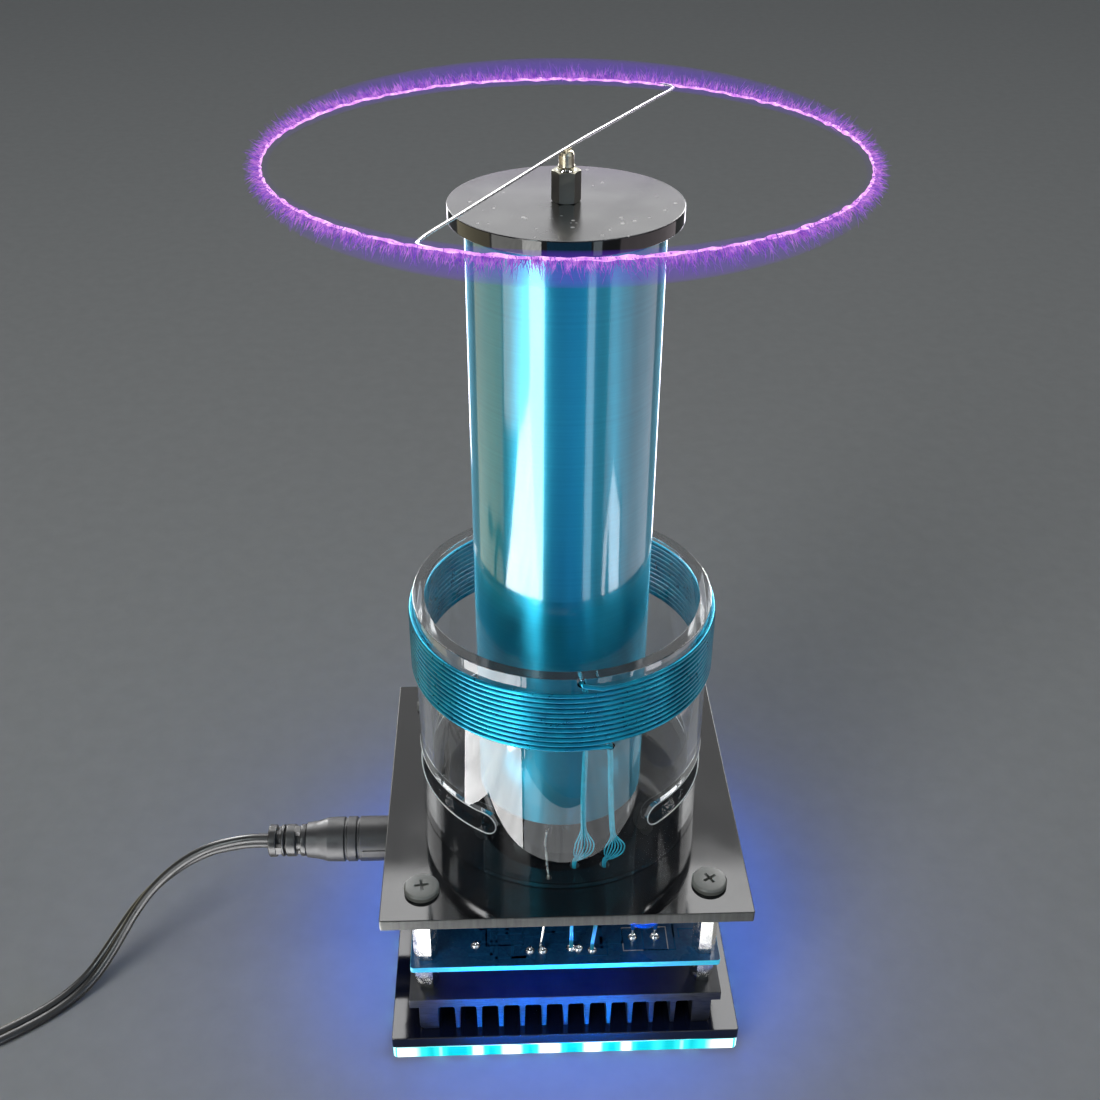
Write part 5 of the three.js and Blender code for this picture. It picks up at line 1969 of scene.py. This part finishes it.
def kept_in(p):
    """p, brought in to PLASMA_REACH from the axis if it is farther out."""
    reach = p.to_2d().length
    if reach <= PLASMA_REACH:
        return p
    return Vector((p.x * PLASMA_REACH / reach, p.y * PLASMA_REACH / reach, p.z))


def plasma_core_lines(shape):
    """Thin bright filaments that wander round the circle which the wire's tips sweep."""
    drawn = random.Random(3)
    steps = 420
    angles = [2 * math.pi * k / 6 for k in range(6)]

    def waves():
        return [(drawn.randint(5, 90), drawn.uniform(0, 6.28), drawn.uniform(0.02, 0.12)) for _ in range(6)]

    def height(found, azimuth):
        return sum(size * math.sin(n * azimuth + first) for n, first, size in found)

    for thick, spread in ((0.24, 0.0), (0.16, 0.22), (0.13, 0.34)):
        swings, lifts = waves(), waves()
        rings = []
        for i in range(steps):
            azimuth = 2 * math.pi * i / steps
            radius = PLASMA_R + spread + (0.5 + spread) * height(swings, azimuth)
            z = PLASMA_Z + (0.5 + spread) * height(lifts, azimuth)
            bead = thick * (1 + 0.35 * math.sin(95 * azimuth) * math.sin(7 * azimuth))
            round_bead = [(bead * math.cos(a), bead * math.sin(a)) for a in angles]
            rings.append([polar(radius + out, azimuth, z + up) for out, up in round_bead])
        shape.rings(rings, 0, closed=True)


def plasma_hairs(shape, count, slot, shortest, longest, thick, seed):
    """Streamers from the core outwards. They hang towards the front and rise towards the back."""
    drawn = random.Random(seed)
    for _ in range(count):
        azimuth = drawn.uniform(0, 2 * math.pi)
        length = shortest + (longest - shortest) * drawn.random() ** 1.6
        radial = polar(1, azimuth, 0)
        tangent = polar(1, azimuth + math.pi / 2, 0)
        climb = 1.25 * math.sin(azimuth) + drawn.gauss(0, 0.38)
        way = radial * drawn.uniform(0.45, 1.0) + Vector((0, 0, climb)) + tangent * drawn.gauss(0.15, 0.35)
        curl = tangent * drawn.gauss(0, 0.45) + radial * drawn.uniform(-0.2, 0.2)
        start = polar(PLASMA_R + drawn.uniform(-0.15, 0.3), azimuth, PLASMA_Z + drawn.gauss(0, 0.15))
        line = []
        for t in (0, 0.35, 0.7, 1):
            line.append(kept_in(start + way.normalized() * length * t + curl * length * 0.4 * t * t))
        shape.tube(line, lambda share: thick * (1 - 0.85 * share), 3, slot)


def haze():
    """The faint glow round the streamers."""
    rings = []
    for i in range(180):
        azimuth = 2 * math.pi * i / 180
        climb = math.sin(azimuth)
        ring = []
        for k in range(20):
            angle = 2 * math.pi * k / 20
            lift = 1.5 * climb + (1.7 + 1.3 * abs(climb)) * math.sin(angle)
            ring.append(polar(PLASMA_R + 0.8 + 2.2 * math.cos(angle), azimuth, PLASMA_Z + lift))
        rings.append(ring)
    return Shape().rings(rings, closed=True).make("plasma_haze_ring", plasma_haze, sharp=180)


plasma_shape = Shape()
plasma_core_lines(plasma_shape)
plasma_hairs(plasma_shape, 3600, 1, 0.9, 2.6, 0.11, 5)
plasma_hairs(plasma_shape, 1900, 2, 1.8, 4.0, 0.09, 6)
plasma = plasma_shape.make("plasma_ring", plasma_core, plasma_fringe, plasma_wisps, sharp=180)
finished(plasma, ROTOR, "tinned_wire")
finished(haze(), ROTOR, "tinned_wire")
